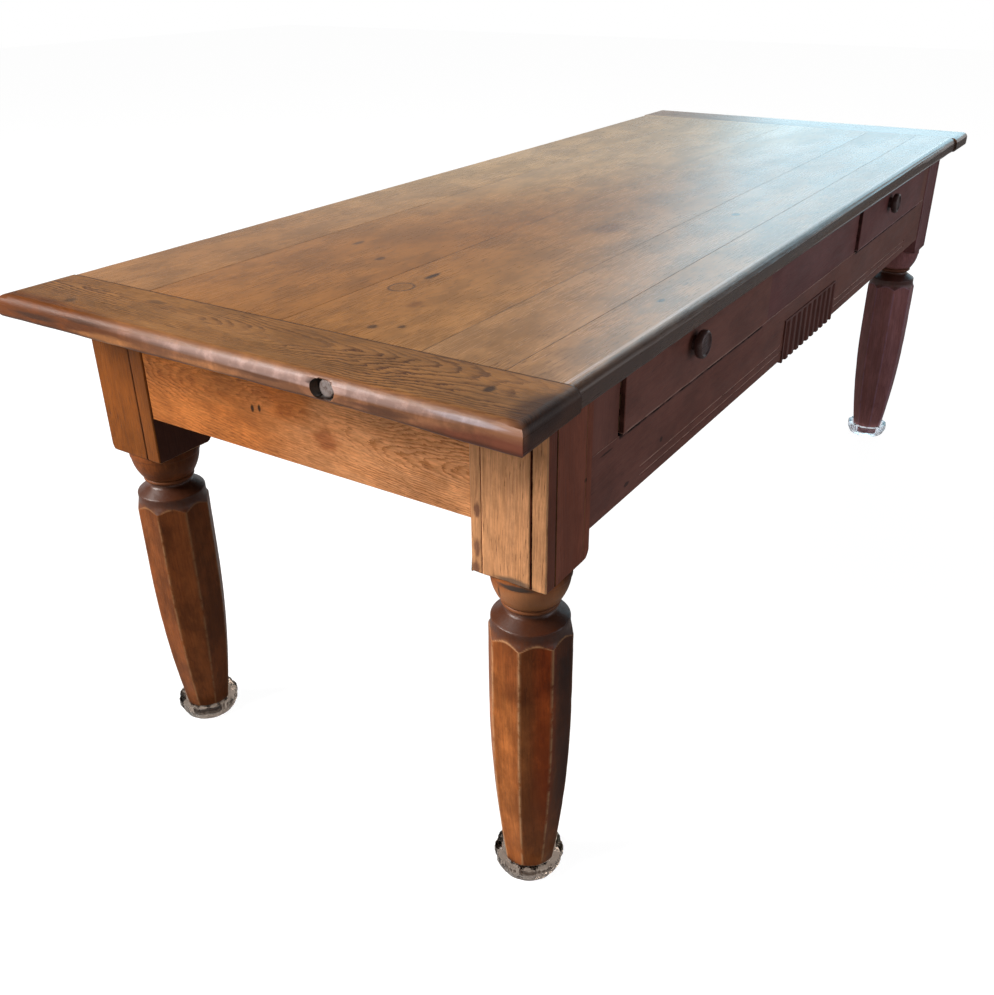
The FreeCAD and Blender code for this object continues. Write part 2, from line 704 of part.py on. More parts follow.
def fluted_block_limits(gap):
    """The front fluted block's limits along X, Y and Z, with its seat swollen by a gap."""
    half = FLUTED_BLOCK_WIDTH / 2 + gap
    back = -APRON_FACE_Y + FLUTED_BLOCK_DEPTH + gap
    front = -APRON_FACE_Y - FLUTED_BLOCK_PROUD
    low = LONG_APRON_BOTTOM - FLUTED_BLOCK_DROP
    return (-half, half), (front, back), (low, LONG_APRON_BOTTOM + FLUTED_BLOCK_RISE + gap)


def fluted_block():
    """The front fluted block: a row of upright flutes that run out through its lower edge."""
    x_span, y_span, z_span = fluted_block_limits(0.0)
    block = span_box(x_span, y_span, z_span)
    pitch = FLUTED_BLOCK_WIDTH / FLUTE_COUNT
    axis_y = y_span[0] - FLUTE_RADIUS + FLUTE_DEPTH
    top = z_span[1] - FLUTE_TOP_MARGIN
    flutes = []
    for i in range(FLUTE_COUNT):
        x = x_span[0] + (i + 0.5) * pitch
        flutes.append(rod(FLUTE_RADIUS, (x, axis_y, z_span[0]), (x, axis_y, top)))
    return cut_by(block, flutes)


def lower_edge_tools():
    """What is cut out of both long aprons: scratched lines and the fluted block's seat."""
    lines = scratch_lines()
    return lines + [mirrored_x(line) for line in lines] + [span_box(*fluted_block_limits(JOINT_GAP))]


def tongue_spans():
    """The X limits of the stiles and the middle panel that stand on the front rail."""
    panel = (-PANEL_HALF_WIDTH, PANEL_HALF_WIDTH)
    return [(-LEG_INNER_X, -STILE_INNER_X), panel, (STILE_INNER_X, LEG_INNER_X)]


def rail_tongue(x_span, gap):
    """The tongue under a stile or panel that sits in the front rail's groove, swollen by a gap."""
    middle = -APRON_FACE_Y + APRON_THICKNESS / 2
    half = TENON_THICKNESS / 2 + gap
    z_span = (FRONT_RAIL_TOP - RAIL_TONGUE - gap, FRONT_RAIL_TOP)
    return span_box(x_span, (middle - half, middle + half), z_span)


def long_board(z_low, z_high, x_span):
    """A plain length of the front apron."""
    return span_box(x_span, (-APRON_FACE_Y, -APRON_INNER_Y), (z_low, z_high))


def front_rail(stub_tools):
    """The rail below the drawers, the whole way between the front legs."""
    board = long_board(LONG_APRON_BOTTOM, FRONT_RAIL_TOP, (-LEG_INNER_X, LEG_INNER_X))
    tenon = long_tenon(LONG_APRON_BOTTOM + TENON_SHOULDER, FRONT_RAIL_TOP, 0.0)
    board = board.fuse([tenon, mirrored_x(tenon)])
    grooves = [rail_tongue(span, JOINT_GAP) for span in tongue_spans()]
    return cut_by(board, lower_edge_tools() + grooves + stub_tools)


def front_stile(stub_tools):
    """The left stile between the leg and the drawer."""
    span = tongue_spans()[0]
    board = long_board(FRONT_RAIL_TOP, TOP_UNDERSIDE, span)
    tenon = long_tenon(FRONT_RAIL_TOP, TOP_UNDERSIDE - TENON_SHOULDER, 0.0)
    return cut_by(board.fuse([tenon, rail_tongue(span, 0.0)]), stub_tools)


def front_panel(stub_tools):
    """The panel between the drawers."""
    span = tongue_spans()[1]
    board = long_board(FRONT_RAIL_TOP, TOP_UNDERSIDE, span)
    return cut_by(board.fuse(rail_tongue(span, 0.0)), stub_tools)


def back_apron(stub_tools):
    """The back apron: one board, with the same lower edge as the front rail."""
    board = long_board(LONG_APRON_BOTTOM, TOP_UNDERSIDE, (-LEG_INNER_X, LEG_INNER_X))
    tenon = long_tenon(LONG_APRON_BOTTOM + TENON_SHOULDER, TOP_UNDERSIDE - TENON_SHOULDER, 0.0)
    board = cut_by(board.fuse([tenon, mirrored_x(tenon)]), lower_edge_tools())
    return cut_by(mirrored_y(board), stub_tools)


# Drawers


def drawer_side_spans(centre):
    """The X limits of a drawer's left and right side boards."""
    half = DRAWER_WIDTH / 2
    return {
        "left": (centre - half, centre - half + DRAWER_SIDE_THICKNESS),
        "right": (centre + half - DRAWER_SIDE_THICKNESS, centre + half),
    }


def dovetails(x_span):
    """The tails on the front end of a drawer side."""
    pitch = (DRAWER_SIDE_TOP_Z - DRAWER_BOTTOM_Z) / DOVETAIL_COUNT
    root_y = DRAWER_FRONT_Y + DRAWER_FRONT_THICKNESS
    tip_y = DRAWER_FRONT_Y + DRAWER_FRONT_LAP
    tip_half = pitch * DOVETAIL_SHARE / 2
    root_half = tip_half - DOVETAIL_SLOPE * (root_y - tip_y)
    tails = []
    for i in range(DOVETAIL_COUNT):
        z = DRAWER_BOTTOM_Z + (i + 0.5) * pitch
        outline = [
            (root_y, z - root_half),
            (tip_y, z - tip_half),
            (tip_y, z + tip_half),
            (root_y, z + root_half),
        ]
        points = [FreeCAD.Vector(x_span[0], y, height) for y, height in outline]
        face = Part.Face(Part.makePolygon(points + points[:1]))
        tails.append(face.extrude(FreeCAD.Vector(x_span[1] - x_span[0], 0, 0)))
    return tails


def drawer_bottom_limits(centre, gap):
    """A drawer bottom's limits, with its grooves swollen by a gap."""
    half = DRAWER_WIDTH / 2 - DRAWER_SIDE_THICKNESS + DRAWER_BOTTOM_GROOVE + gap
    front = DRAWER_FRONT_Y + DRAWER_FRONT_THICKNESS - DRAWER_BOTTOM_GROOVE - gap
    low = DRAWER_BOTTOM_Z + DRAWER_BOTTOM_RISE
    z_span = (low - gap, low + DRAWER_BOTTOM_THICKNESS + gap)
    return (centre - half, centre + half), (front, DRAWER_BACK_Y + gap), z_span


def drawer_back_limits(centre, gap):
    """A drawer back's limits, with its housings swollen by a gap."""
    half = DRAWER_WIDTH / 2 - DRAWER_SIDE_THICKNESS + DRAWER_BACK_HOUSING + gap
    rear = DRAWER_BACK_Y - DRAWER_BACK_INSET
    low = DRAWER_BOTTOM_Z + DRAWER_BOTTOM_RISE + DRAWER_BOTTOM_THICKNESS
    y_span = (rear - DRAWER_BACK_THICKNESS - gap, rear + gap)
    return (centre - half, centre + half), y_span, (low, DRAWER_SIDE_TOP_Z)


def knob_place(centre):
    """The middle of a drawer's knob on the drawer front."""
    z = (DRAWER_BOTTOM_Z + DRAWER_TOP_Z) / 2 + KNOB_RISE
    return FreeCAD.Vector(centre + KNOB_SHIFT, DRAWER_FRONT_Y, z)


def knob_screw(centre, gap):
    """The screw through a drawer front into its knob, swollen by a gap."""
    place = knob_place(centre)
    inside = DRAWER_FRONT_Y + DRAWER_FRONT_THICKNESS
    head_face = inside + KNOB_SCREW_HEAD_HEIGHT
    tip = DRAWER_FRONT_Y - KNOB_SCREW_BITE - gap
    head = rod(KNOB_SCREW_HEAD_DIAMETER / 2, (place.x, inside, place.z), (place.x, head_face, place.z))
    shank = rod(KNOB_SCREW_DIAMETER / 2 + gap, (place.x, inside, place.z), (place.x, tip, place.z))
    return head.fuse(shank).removeSplitter()


def knob(centre):
    """A squat turned knob with a round neck, a raised rim and a dished face."""
    radius = KNOB_DIAMETER / 2
    neck = KNOB_NECK_DIAMETER / 2
    dish_floor = KNOB_LENGTH - KNOB_DISH
    body = turned([
        (0.0, 0.0),
        (neck, 0.0),
        (neck, KNOB_NECK_LENGTH),
        (radius, KNOB_NECK_LENGTH),
        (radius, KNOB_LENGTH),
        (radius - KNOB_RIM, KNOB_LENGTH),
        (radius - KNOB_RIM - KNOB_DISH, dish_floor),
        (0.0, dish_floor),
    ])
    circles = [edge for edge in body.Edges if edge.BoundBox.ZLength < 1e-4]
    rim = [edge for edge in circles if edge.BoundBox.XMax > radius - 1e-4]
    body = body.makeFillet(KNOB_ROUND, rim)
    body.rotate(ORIGIN, FreeCAD.Vector(1, 0, 0), 90)
    body.translate(knob_place(centre))
    return body.cut(knob_screw(centre, ROUND_GAP))


def drawer_front(centre):
    """A drawer front with sockets for the dovetails, a groove for the bottom and a hole for the screw."""
    half = DRAWER_WIDTH / 2
    inside = DRAWER_FRONT_Y + DRAWER_FRONT_THICKNESS
    z_span = (DRAWER_BOTTOM_Z, DRAWER_TOP_Z)
    board = span_box((centre - half, centre + half), (DRAWER_FRONT_Y, inside), z_span)
    face_edges = [edge for edge in board.Edges if edge.BoundBox.YMax < DRAWER_FRONT_Y + 1e-4]
    board = board.makeFillet(FRONT_EDGE_ROUND, face_edges)
    spans = drawer_side_spans(centre)
    groove = span_box(*drawer_bottom_limits(centre, JOINT_GAP))
    tails = dovetails(spans["left"]) + dovetails(spans["right"])
    return cut_by(board, tails + [groove, knob_screw(centre, ROUND_GAP)])


def drawer_side(centre, side):
    """A drawer side with its tails, the bottom's groove and the back's housing."""
    x_span = drawer_side_spans(centre)[side]
    front = DRAWER_FRONT_Y + DRAWER_FRONT_THICKNESS
    board = span_box(x_span, (front, DRAWER_BACK_Y), (DRAWER_BOTTOM_Z, DRAWER_SIDE_TOP_Z))
    return cut_by(board.fuse(dovetails(x_span)), [
        span_box(*drawer_bottom_limits(centre, JOINT_GAP)),
        span_box(*drawer_back_limits(centre, JOINT_GAP)),
    ])


def drawer_pieces(side):
    """All pieces of one drawer, by node name."""
    centre = SIDES[side] * DRAWER_CENTRE_X
    prefix = f"drawer_{side}_"
    return {
        prefix + "front": drawer_front(centre),
        prefix + "left_side": drawer_side(centre, "left"),
        prefix + "right_side": drawer_side(centre, "right"),
        prefix + "back": span_box(*drawer_back_limits(centre, 0.0)),
        prefix + "bottom": span_box(*drawer_bottom_limits(centre, 0.0)),
        prefix + "knob": knob(centre),
        prefix + "knob_screw": knob_screw(centre, 0.0),
    }


# Runners, guides and stops


def runner_spans(side, edge):
    """The X limits of a runner, its guide and its stop, at one edge of one drawer."""
    away = SIDES[edge]
    side_face = SIDES[side] * DRAWER_CENTRE_X + away * DRAWER_WIDTH / 2
    guide_face = side_face + away * GUIDE_GAP
    guide_back = guide_face + away * GUIDE_THICKNESS
    runner_inner = side_face - away * RUNNER_INNER_WIDTH
    stop_inner = side_face - away * DRAWER_SIDE_THICKNESS
    return (runner_inner, guide_back), (guide_face, guide_back), (stop_inner, side_face)


def runner_stubs(x_span, gap):
    """A runner's stub tenons into the front rail and the back apron, swollen by a gap."""
    low, high = min(x_span), max(x_span)
    across = (low + STUB_TENON_SHOULDER - gap, high - STUB_TENON_SHOULDER + gap)
    bottom = RUNNER_TOP - RUNNER_HEIGHT
    heights = (bottom + STUB_TENON_SHOULDER / 2 - gap, FRONT_RAIL_TOP - RAIL_TONGUE + gap)
    return [stub(across, heights, APRON_INNER_Y, sign) for sign in (-1, 1)]


def runner(x_span):
    """A runner from the front rail to the back apron."""
    z_span = (RUNNER_TOP - RUNNER_HEIGHT, RUNNER_TOP)
    body = span_box(x_span, (-APRON_INNER_Y, APRON_INNER_Y), z_span)
    return body.fuse(runner_stubs(x_span, 0.0)).removeSplitter()


def runner_pieces():
    """Every runner and guide by node name, and the list of stops."""
    pieces = {}
    stops = []
    for side in SIDES:
        for edge in SIDES:
            runner_x, guide_x, stop_x = runner_spans(side, edge)
            pieces[f"runner_{side}_drawer_{edge}"] = runner(runner_x)
            pieces[f"guide_{side}_drawer_{edge}"] = span_box(
                guide_x, (-APRON_INNER_Y, DRAWER_BACK_Y), (RUNNER_TOP, RUNNER_TOP + GUIDE_HEIGHT)
            )
            stop_start = DRAWER_BACK_Y + RUNNING_GAP
            stops.append(span_box(
                stop_x, (stop_start, stop_start + STOP_LENGTH), (RUNNER_TOP, RUNNER_TOP + STOP_HEIGHT)
            ))
    return pieces, stops


# Whole table


def top_pieces(screw_tools):
    """The planks, the breadboard ends and their bolts and nuts, by node name."""
    left_tools = left_bolt_tools()
    bolt_tools = left_tools + [mirrored_x(tool) for tool in left_tools]
    pieces = {}
    for number, (back, front) in enumerate(plank_limits(), start=1):
        pieces[f"top_plank_{number}"] = plank(back, front, bolt_tools, screw_tools)
    left_board = breadboard(left_tools)
    bolt = breadboard_bolt()
    nut = breadboard_nut()
    pieces["breadboard_left"] = left_board
    pieces["breadboard_right"] = mirrored_x(left_board)
    pieces["breadboard_bolt_left"] = bolt
    pieces["breadboard_bolt_right"] = mirrored_x(bolt)
    pieces["breadboard_nuts"] = Part.makeCompound([nut, mirrored_x(nut)])
    return pieces


def leg_pieces():
    """The four legs and the four glass cups, by node name."""
    mortises = end_apron_tenons(JOINT_GAP) + [long_mortise()]
    left_legs = {"front": leg(front_leg_cuts(), mortises), "back": leg(back_leg_cuts(), mortises)}
    left_cup = glass_cup()
    pieces = {}
    for face, y_sign in FACES.items():
        for side, x_sign in SIDES.items():
            for kind, shape in (("leg", left_legs[face]), ("glass_cup", left_cup)):
                placed = shape if x_sign < 0 else mirrored_x(shape)
                pieces[f"{kind}_{face}_{side}"] = placed if y_sign < 0 else mirrored_y(placed)
    return pieces


def frame_pieces(screw_tools):
    """The aprons, fluted blocks, bearers and runners, by node name."""
    runners, stops = runner_pieces()
    stub_tools = []
    for x in BEARER_PLACES:
        stub_tools += bearer_stubs(x, JOINT_GAP)
    for side in SIDES:
        for edge in SIDES:
            stub_tools += runner_stubs(runner_spans(side, edge)[0], JOINT_GAP)
    left_end = end_apron()
    block = fluted_block()
    left_stile = front_stile(stub_tools)
    pieces = {
        "end_apron_left": left_end,
        "end_apron_right": mirrored_x(left_end),
        "front_rail": front_rail(stub_tools),
        "front_stile_left": left_stile,
        "front_stile_right": mirrored_x(left_stile),
        "front_panel": front_panel(stub_tools),
        "back_apron": back_apron(stub_tools),
        "fluted_block_front": block,
        "fluted_block_back": mirrored_y(block),
        "drawer_stops": Part.makeCompound(stops),
    }
    for name, x in zip(("bearer_left", "bearer_middle", "bearer_right"), BEARER_PLACES):
        pieces[name] = bearer(x, screw_tools)
    pieces.update(runners)
    return pieces


def table_pieces():
    """Every piece of the table, by node name."""
    places = screw_places()
    screw_tools = [screw(x, y, ROUND_GAP) for x, y in places]
    pieces = top_pieces(screw_tools)
    pieces.update(leg_pieces())
    pieces.update(frame_pieces(screw_tools))
    for side in SIDES:
        pieces.update(drawer_pieces(side))
    pieces["top_screws"] = Part.makeCompound([screw(x, y, 0.0) for x, y in places])
    return pieces


os.makedirs("parts", exist_ok=True)
for node, piece in table_pieces().items():
    piece.exportStep(f"parts/{node}.step")
    print(node, "solids", len(piece.Solids), "valid", piece.isValid(), "volume", round(piece.Volume))
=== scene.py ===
"""Dresses the farmhouse table: worn waxed boards, turned legs, glass cups and a soft studio."""

import logging
import math
from dataclasses import dataclass, replace
from enum import Enum
from typing import Callable, Iterable, Sequence

import bmesh
import bpy
from mathutils import Euler, Matrix, Vector, noise


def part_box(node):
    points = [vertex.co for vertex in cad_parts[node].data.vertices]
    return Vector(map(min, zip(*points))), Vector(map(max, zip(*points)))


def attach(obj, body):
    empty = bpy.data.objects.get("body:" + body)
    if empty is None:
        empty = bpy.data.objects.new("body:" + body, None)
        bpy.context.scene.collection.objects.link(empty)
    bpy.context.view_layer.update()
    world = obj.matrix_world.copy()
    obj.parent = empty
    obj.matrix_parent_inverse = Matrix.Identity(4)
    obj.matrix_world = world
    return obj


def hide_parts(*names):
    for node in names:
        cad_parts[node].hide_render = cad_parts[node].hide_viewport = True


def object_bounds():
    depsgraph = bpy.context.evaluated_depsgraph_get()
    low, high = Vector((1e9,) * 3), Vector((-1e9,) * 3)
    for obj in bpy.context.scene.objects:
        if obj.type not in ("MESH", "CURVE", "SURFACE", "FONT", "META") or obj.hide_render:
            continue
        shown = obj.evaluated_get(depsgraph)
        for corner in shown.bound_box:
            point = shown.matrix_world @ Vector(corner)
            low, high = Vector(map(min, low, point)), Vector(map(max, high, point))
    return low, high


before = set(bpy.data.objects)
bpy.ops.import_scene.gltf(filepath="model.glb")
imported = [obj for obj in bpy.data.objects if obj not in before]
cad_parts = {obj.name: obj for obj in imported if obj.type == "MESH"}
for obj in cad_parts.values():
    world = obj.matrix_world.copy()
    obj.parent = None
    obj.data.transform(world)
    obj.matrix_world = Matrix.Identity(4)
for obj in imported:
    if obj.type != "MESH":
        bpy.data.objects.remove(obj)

CAD_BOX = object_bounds()
LOG = logging.getLogger("farmhouse_table")

Colour = tuple[float, float, float]
Point = tuple[float, float, float]
Socket = bpy.types.NodeSocket
EDGE_LAYER = "edge"
# The hollow layer marks where the grime colour darkens: grime in the top's joints, painted shade in the block grooves,
# on the rail under the drawer fronts and on the fronts' ends, and the darker leg shoulders.
GRIME_AND_SHADE_LAYER = "hollow"
PHOTO_WIDTH = 994.0
PHOTO_HEIGHT = 995.0
SIDES = (("left", -1.0), ("right", 1.0))
PLAIN = (1.0, 1.0, 1.0)
WELD = 2e-5
CUT = 1e-6
HALF_GREY = (0.5, 0.5, 0.5)
FIBRE_LIFT = 0.55
MOTTLE_LIFT = 0.8
WOOD_RELIEF = 0.0006
DENT_NOISE = (0.8, 2.1, 3)
BROAD = 3.0
ORIGIN = (0.0, 0.0, 0.0)


class Grain(Enum):
    """The way a board's fibres run."""

    LENGTH = "X"
    WIDTH = "Y"
    UPRIGHT = "Z"


class Blend(Enum):
    """How a mark lies on the wood."""

    COVER = "MIX"
    TINT = "MULTIPLY"


class Body(Enum):
    """The bodies that pieces ride on."""

    TABLE = "table"
    DRAWER_LEFT = "drawer_left"
    DRAWER_RIGHT = "drawer_right"


class Slot(Enum):
    """The record's material slots."""

    TOP = "top_wood"
    LEG = "leg_wood"
    APRON = "apron_wood"
    DRAWER = "drawer_wood"
    KNOB = "knob_wood"
    GLASS = "cup_glass"


class Kind(Enum):
    """The kinds of socket in a node group's interface."""

    FLOAT = "NodeSocketFloat"
    COUNT = "NodeSocketInt"
    VECTOR = "NodeSocketVector"
    MATERIAL = "NodeSocketMaterial"
    GEOMETRY = "NodeSocketGeometry"


# Node trees


class Tree:
    """Adds and joins nodes in one node tree."""

    def __init__(self, tree: bpy.types.NodeTree) -> None:
        """Keeps the node tree that is filled."""
        self.tree = tree

    def add(self, kind: str, **settings: object) -> bpy.types.Node:
        """Adds one node.

        Args:
            kind: the node's type name.
            settings: attributes to set on it.

        Returns:
            The new node.
        """
        node = self.tree.nodes.new(kind)
        for name, value in settings.items():
            setattr(node, name, value)
        return node

    def feed(self, target: Socket, value: object) -> None:
        """Sets an input to a plain value or joins it to an output.

        Args:
            target: the input socket.
            value: an output socket, a number, a vector or a colour.
        """
        if isinstance(value, bpy.types.NodeSocket):
            self.tree.links.new(value, target)
        elif target.type == "RGBA" and len(value) == 3:
            target.default_value = (*value, 1.0)
        else:
            target.default_value = value

    def fill(self, node: bpy.types.Node, **values: object) -> bpy.types.Node:
        """Feeds a node's inputs by name.

        Args:
            node: the node.
            values: its inputs, with an underscore for each space.

        Returns:
            The same node.
        """
        for name, value in values.items():
            self.feed(node.inputs[name.replace("_", " ")], value)
        return node

    def step(self, kind: str, **values: object) -> Socket:
        """Adds a node, feeds its inputs by name and gives its first output."""
        return self.fill(self.add(kind), **values).outputs[0]

    def math(self, operation: str, a: object, b: object = 0.0, clamp: bool = False) -> Socket:
        """A Math node's result.

        Args:
            operation: the Math node's operation.
            a: first value or socket.
            b: second value or socket.
            clamp: whether the result stays between 0 and 1.

        Returns:
            The output socket.
        """
        node = self.add("ShaderNodeMath", operation=operation, use_clamp=clamp)
        self.feed(node.inputs[0], a)
        self.feed(node.inputs[1], b)
        return node.outputs[0]

    def times(self, a: object, b: object, clamp: bool = False) -> Socket:
        """The product of two values or sockets, kept between 0 and 1 if it is clamped."""
        return self.math("MULTIPLY", a, b, clamp)

    def plus(self, a: object, b: object) -> Socket:
        """The sum of two values or sockets."""
        return self.math("ADD", a, b)

    def larger(self, a: object, b: object) -> Socket:
        """The larger of two values or sockets."""
        return self.math("MAXIMUM", a, b)

    def vector(self, operation: str, a: object, b: object = ORIGIN) -> Socket:
        """A Vector Math node's result.

        Args:
            operation: the Vector Math node's operation.
            a: first vector or socket.
            b: second vector or socket.

        Returns:
            The output socket, the Value one for LENGTH.
        """
        node = self.add("ShaderNodeVectorMath", operation=operation)
        self.feed(node.inputs[0], a)
        if operation == "SCALE":
            self.feed(node.inputs["Scale"], b)
        elif operation != "LENGTH":
            self.feed(node.inputs[1], b)
        return node.outputs["Value" if operation == "LENGTH" else "Vector"]

    def span(self, value: object, low: float, high: float, start: float = 0.0, end: float = 1.0) -> Socket:
        """A smooth Map Range.

        Args:
            value: what is mapped.
            low: the value that gives start.
            high: the value that gives end.
            start: the result at low.
            end: the result at high.

        Returns:
            The output socket.
        """
        node = self.add("ShaderNodeMapRange", interpolation_type="SMOOTHSTEP")
        self.fill(node, Value=value, From_Min=low, From_Max=high, To_Min=start, To_Max=end)
        return node.outputs[0]

    def mix(self, factor: object, a: object, b: object, blend: Blend = Blend.COVER) -> Socket:
        """Mixes two colours.

        Args:
            factor: the share of the second colour.
            a: first colour or socket.
            b: second colour or socket.
            blend: how the second lies on the first.

        Returns:
            The mixed colour's socket.
        """
        node = self.add("ShaderNodeMix", data_type="RGBA", blend_type=blend.value)
        self.feed(node.inputs["Factor"], factor)
        self.feed(node.inputs[6], a)
        self.feed(node.inputs[7], b)
        return node.outputs[2]

    def choose(self, factor: Socket, a: object, b: object) -> Socket:
        """Mixes two numbers.

        Args:
            factor: the share of the second number.
            a: first number or socket.
            b: second number or socket.

        Returns:
            The mixed number's socket.
        """
        node = self.add("ShaderNodeMix", data_type="FLOAT")
        for i, value in ((0, factor), (2, a), (3, b)):
            self.feed(node.inputs[i], value)
        return node.outputs[0]

    def clouds(
        self, place: Socket, scale: object, detail: float = 3.0, rough: float = 0.55, output: str = "Fac"
    ) -> Socket:
        """A noise texture's result.

        Args:
            place: the coordinates.
            scale: the noise's scale, one number for all axes or one for each.
            detail: how many octaves it has.
            rough: how strong the fine octaves are.
            output: the noise's output, Fac or Color.

        Returns:
            The output socket.
        """
        if isinstance(scale, tuple):
            place, scale = self.vector("MULTIPLY", place, scale), 1.0
        node = self.add("ShaderNodeTexNoise")
        return self.fill(node, Vector=place, Scale=scale, Detail=detail, Roughness=rough).outputs[output]

    def bump(self, height: Socket, strength: float, distance: float) -> Socket:
        """A Bump node's normal for a height, its strength and its depth."""
        node = self.fill(self.add("ShaderNodeBump"), Strength=strength, Distance=distance, Height=height)
        return node.outputs["Normal"]


def new_group(
    name: str, inputs: Sequence[tuple[str, Kind, object]], outputs: Sequence[tuple[str, Kind]],
    kind: str = "ShaderNodeTree",
) -> tuple[Tree, bpy.types.Node, bpy.types.Node]:
    """Starts a node group.

    Args:
        name: the group's name.
        inputs: name, kind and default of each input, the default None where it has none.
        outputs: name and kind of each output.
        kind: the tree's type name.

    Returns:
        The tree builder, the group's input node and its output node.
    """
    group = bpy.data.node_groups.new(name, kind)
    for label, sort, default in inputs:
        socket = group.interface.new_socket(label, in_out="INPUT", socket_type=sort.value)
        if default is not None:
            socket.default_value = default
    for label, sort in outputs:
        group.interface.new_socket(label, in_out="OUTPUT", socket_type=sort.value)
    tree = Tree(group)
    return tree, tree.add("NodeGroupInput"), tree.add("NodeGroupOutput")


def wood_figure_group() -> bpy.types.NodeTree:
    """Builds the wood figure: growth rings round a pith line along X, fibres, pores, streaks and mottle.

    Returns:
        The node group.
    """
    tree, given, result = new_group(
        "wood_figure",
        [("Vector", Kind.VECTOR, ORIGIN), ("Ring Scale", Kind.FLOAT, 60.0), ("Ring Warp", Kind.FLOAT, 0.01)],
        [(label, Kind.FLOAT) for label in ("Rings", "Fibre", "Pores", "Patches", "Streaks", "Mottle")],
    )
    place = given.outputs["Vector"]
    warped = place
    for stretch, detail, share in (
        ((1.3, 5.0, 5.0), 2.0, 1.0), ((7.0, 24.0, 24.0), 3.0, 0.28), ((90.0, 420.0, 420.0), 2.0, 0.04),
    ):
        cloud = tree.clouds(place, stretch, detail, output="Color")
        bend = tree.vector("MULTIPLY", tree.vector("SUBTRACT", cloud, HALF_GREY), (share, share, share))
        warped = tree.vector("ADD", warped, tree.vector("SCALE", bend, given.outputs["Ring Warp"]))
    wave = tree.add("ShaderNodeTexWave", wave_type="RINGS", rings_direction="X", wave_profile="SAW")
    tree.fill(
        wave, Vector=warped, Scale=given.outputs["Ring Scale"], Distortion=0.8, Detail=2.0, Detail_Scale=0.6
    )
    faded = tree.clouds(place, (3.2, 17.0, 17.0), 4.0)
    thin = tree.math("POWER", tree.span(wave.outputs["Fac"], 0.15, 0.98), 2.0)
    rings = tree.times(thin, tree.span(faded, 0.36, 0.62, 0.2, 1.0))
    tree.feed(result.inputs["Rings"], rings)
    for label, stretch, detail, rough, low, high in (
        ("Patches", (2.4, 9.0, 9.0), 5.0, 0.6, 0.3, 0.72), ("Streaks", (4.5, 75.0, 75.0), 4.0, 0.6, 0.25, 0.75),
        ("Mottle", (9.0, 15.0, 15.0), 8.0, 0.7, 0.33, 0.67), ("Fibre", (26.0, 420.0, 420.0), 4.0, 0.65, 0.0, 1.0),
    ):
        cloud = tree.clouds(place, stretch, detail, rough)
        tree.feed(result.inputs[label], tree.span(cloud, low, high))
    dashes = tree.clouds(place, (38.0, 560.0, 560.0), 2.0)
    pores = tree.span(dashes, 0.58, 0.70)
    tree.feed(result.inputs["Pores"], tree.times(pores, tree.plus(rings, 0.4), clamp=True))
    return tree.tree


def edge_wear_group() -> bpy.types.NodeTree:
    """Builds the rubbed-edge mask from the mesh's edge layer, which also carries the painted highlight in the rail's
    scribed lines, and the mask of grime and painted shade from its hollow layer, both broken up by noise.

    Returns:
        The node group.
    """
    tree, given, result = new_group(
        "edge_wear",
        [("Vector", Kind.VECTOR, ORIGIN), ("Amount", Kind.FLOAT, 0.5), ("Breakup", Kind.FLOAT, 30.0)],
        [("Wear", Kind.FLOAT), ("Dirt", Kind.FLOAT)],
    )
    edge = tree.add("ShaderNodeAttribute", attribute_name=EDGE_LAYER)
    hollow = tree.add("ShaderNodeAttribute", attribute_name=GRIME_AND_SHADE_LAYER)
    chips = tree.clouds(given.outputs["Vector"], given.outputs["Breakup"], 5.0, 0.65)
    rubbed = tree.times(edge.outputs["Fac"], tree.span(chips, 0.30, 0.56))
    grit = tree.plus(tree.span(chips, 0.75, 0.3), 0.35)
    wear = tree.times(rubbed, given.outputs["Amount"], clamp=True)
    tree.fill(result, Wear=wear, Dirt=tree.times(hollow.outputs["Fac"], grit, clamp=True))
    return tree.tree


def old_mark_group() -> bpy.types.NodeTree:
    """Builds a small round or long mark at one place: a knot, a nail hole, a ring stain or a dent.

    Returns:
        The node group.
    """
    tree, given, result = new_group(
        "old_mark",
        [
            ("Vector", Kind.VECTOR, ORIGIN), ("Centre", Kind.VECTOR, ORIGIN),
            ("Reach", Kind.VECTOR, (0.01, 0.01, 0.01)), ("Rough", Kind.FLOAT, 0.3),
        ],
        [("Core", Kind.FLOAT), ("Rim", Kind.FLOAT)],
    )
    away = tree.vector("SUBTRACT", given.outputs["Vector"], given.outputs["Centre"])
    away = tree.vector("DIVIDE", away, given.outputs["Reach"])
    shake = tree.vector("SUBTRACT", tree.clouds(away, 1.1, 4.0, output="Color"), HALF_GREY)
    away = tree.vector("ADD", away, tree.vector("SCALE", shake, given.outputs["Rough"]))
    reach = tree.vector("LENGTH", away)
    rim = tree.times(tree.span(reach, 0.74, 0.90), tree.span(reach, 1.10, 0.94))
    tree.fill(result, Core=tree.span(reach, 1.0, 0.45), Rim=rim)
    return tree.tree


class Groups:
    """The shared shader node groups, each built once."""

    def __init__(self) -> None:
        """Builds the groups."""
        self.figure = wood_figure_group()
        self.wear = edge_wear_group()
        self.mark = old_mark_group()

    def place(self, tree: Tree, group: bpy.types.NodeTree, **values: object) -> bpy.types.NodeOutputs:
        """Places a group in a material.

        Args:
            tree: the material's tree.
            group: the group to place.
            values: its inputs, with an underscore for each space.

        Returns:
            The group node's outputs.
        """
        return tree.fill(tree.add("ShaderNodeGroup", node_tree=group), **values).outputs


# Finishes


@dataclass(frozen=True)
class Mark:
    """One mark in a surface: its place and half sizes, its colour and how strong it is."""

    centre: Point
    reach: Point
    colour: Colour
    strength: float = 0.8
    rough: float = 0.3
    blend: Blend = Blend.COVER
    rim: bool = False


def tint(centre: Point, reach: Point, tone: Colour, strength: float, rough: float) -> Mark:
    """A mark that multiplies the wood by a tone instead of covering it."""
    return Mark(centre, reach, tone, strength, rough, Blend.TINT)


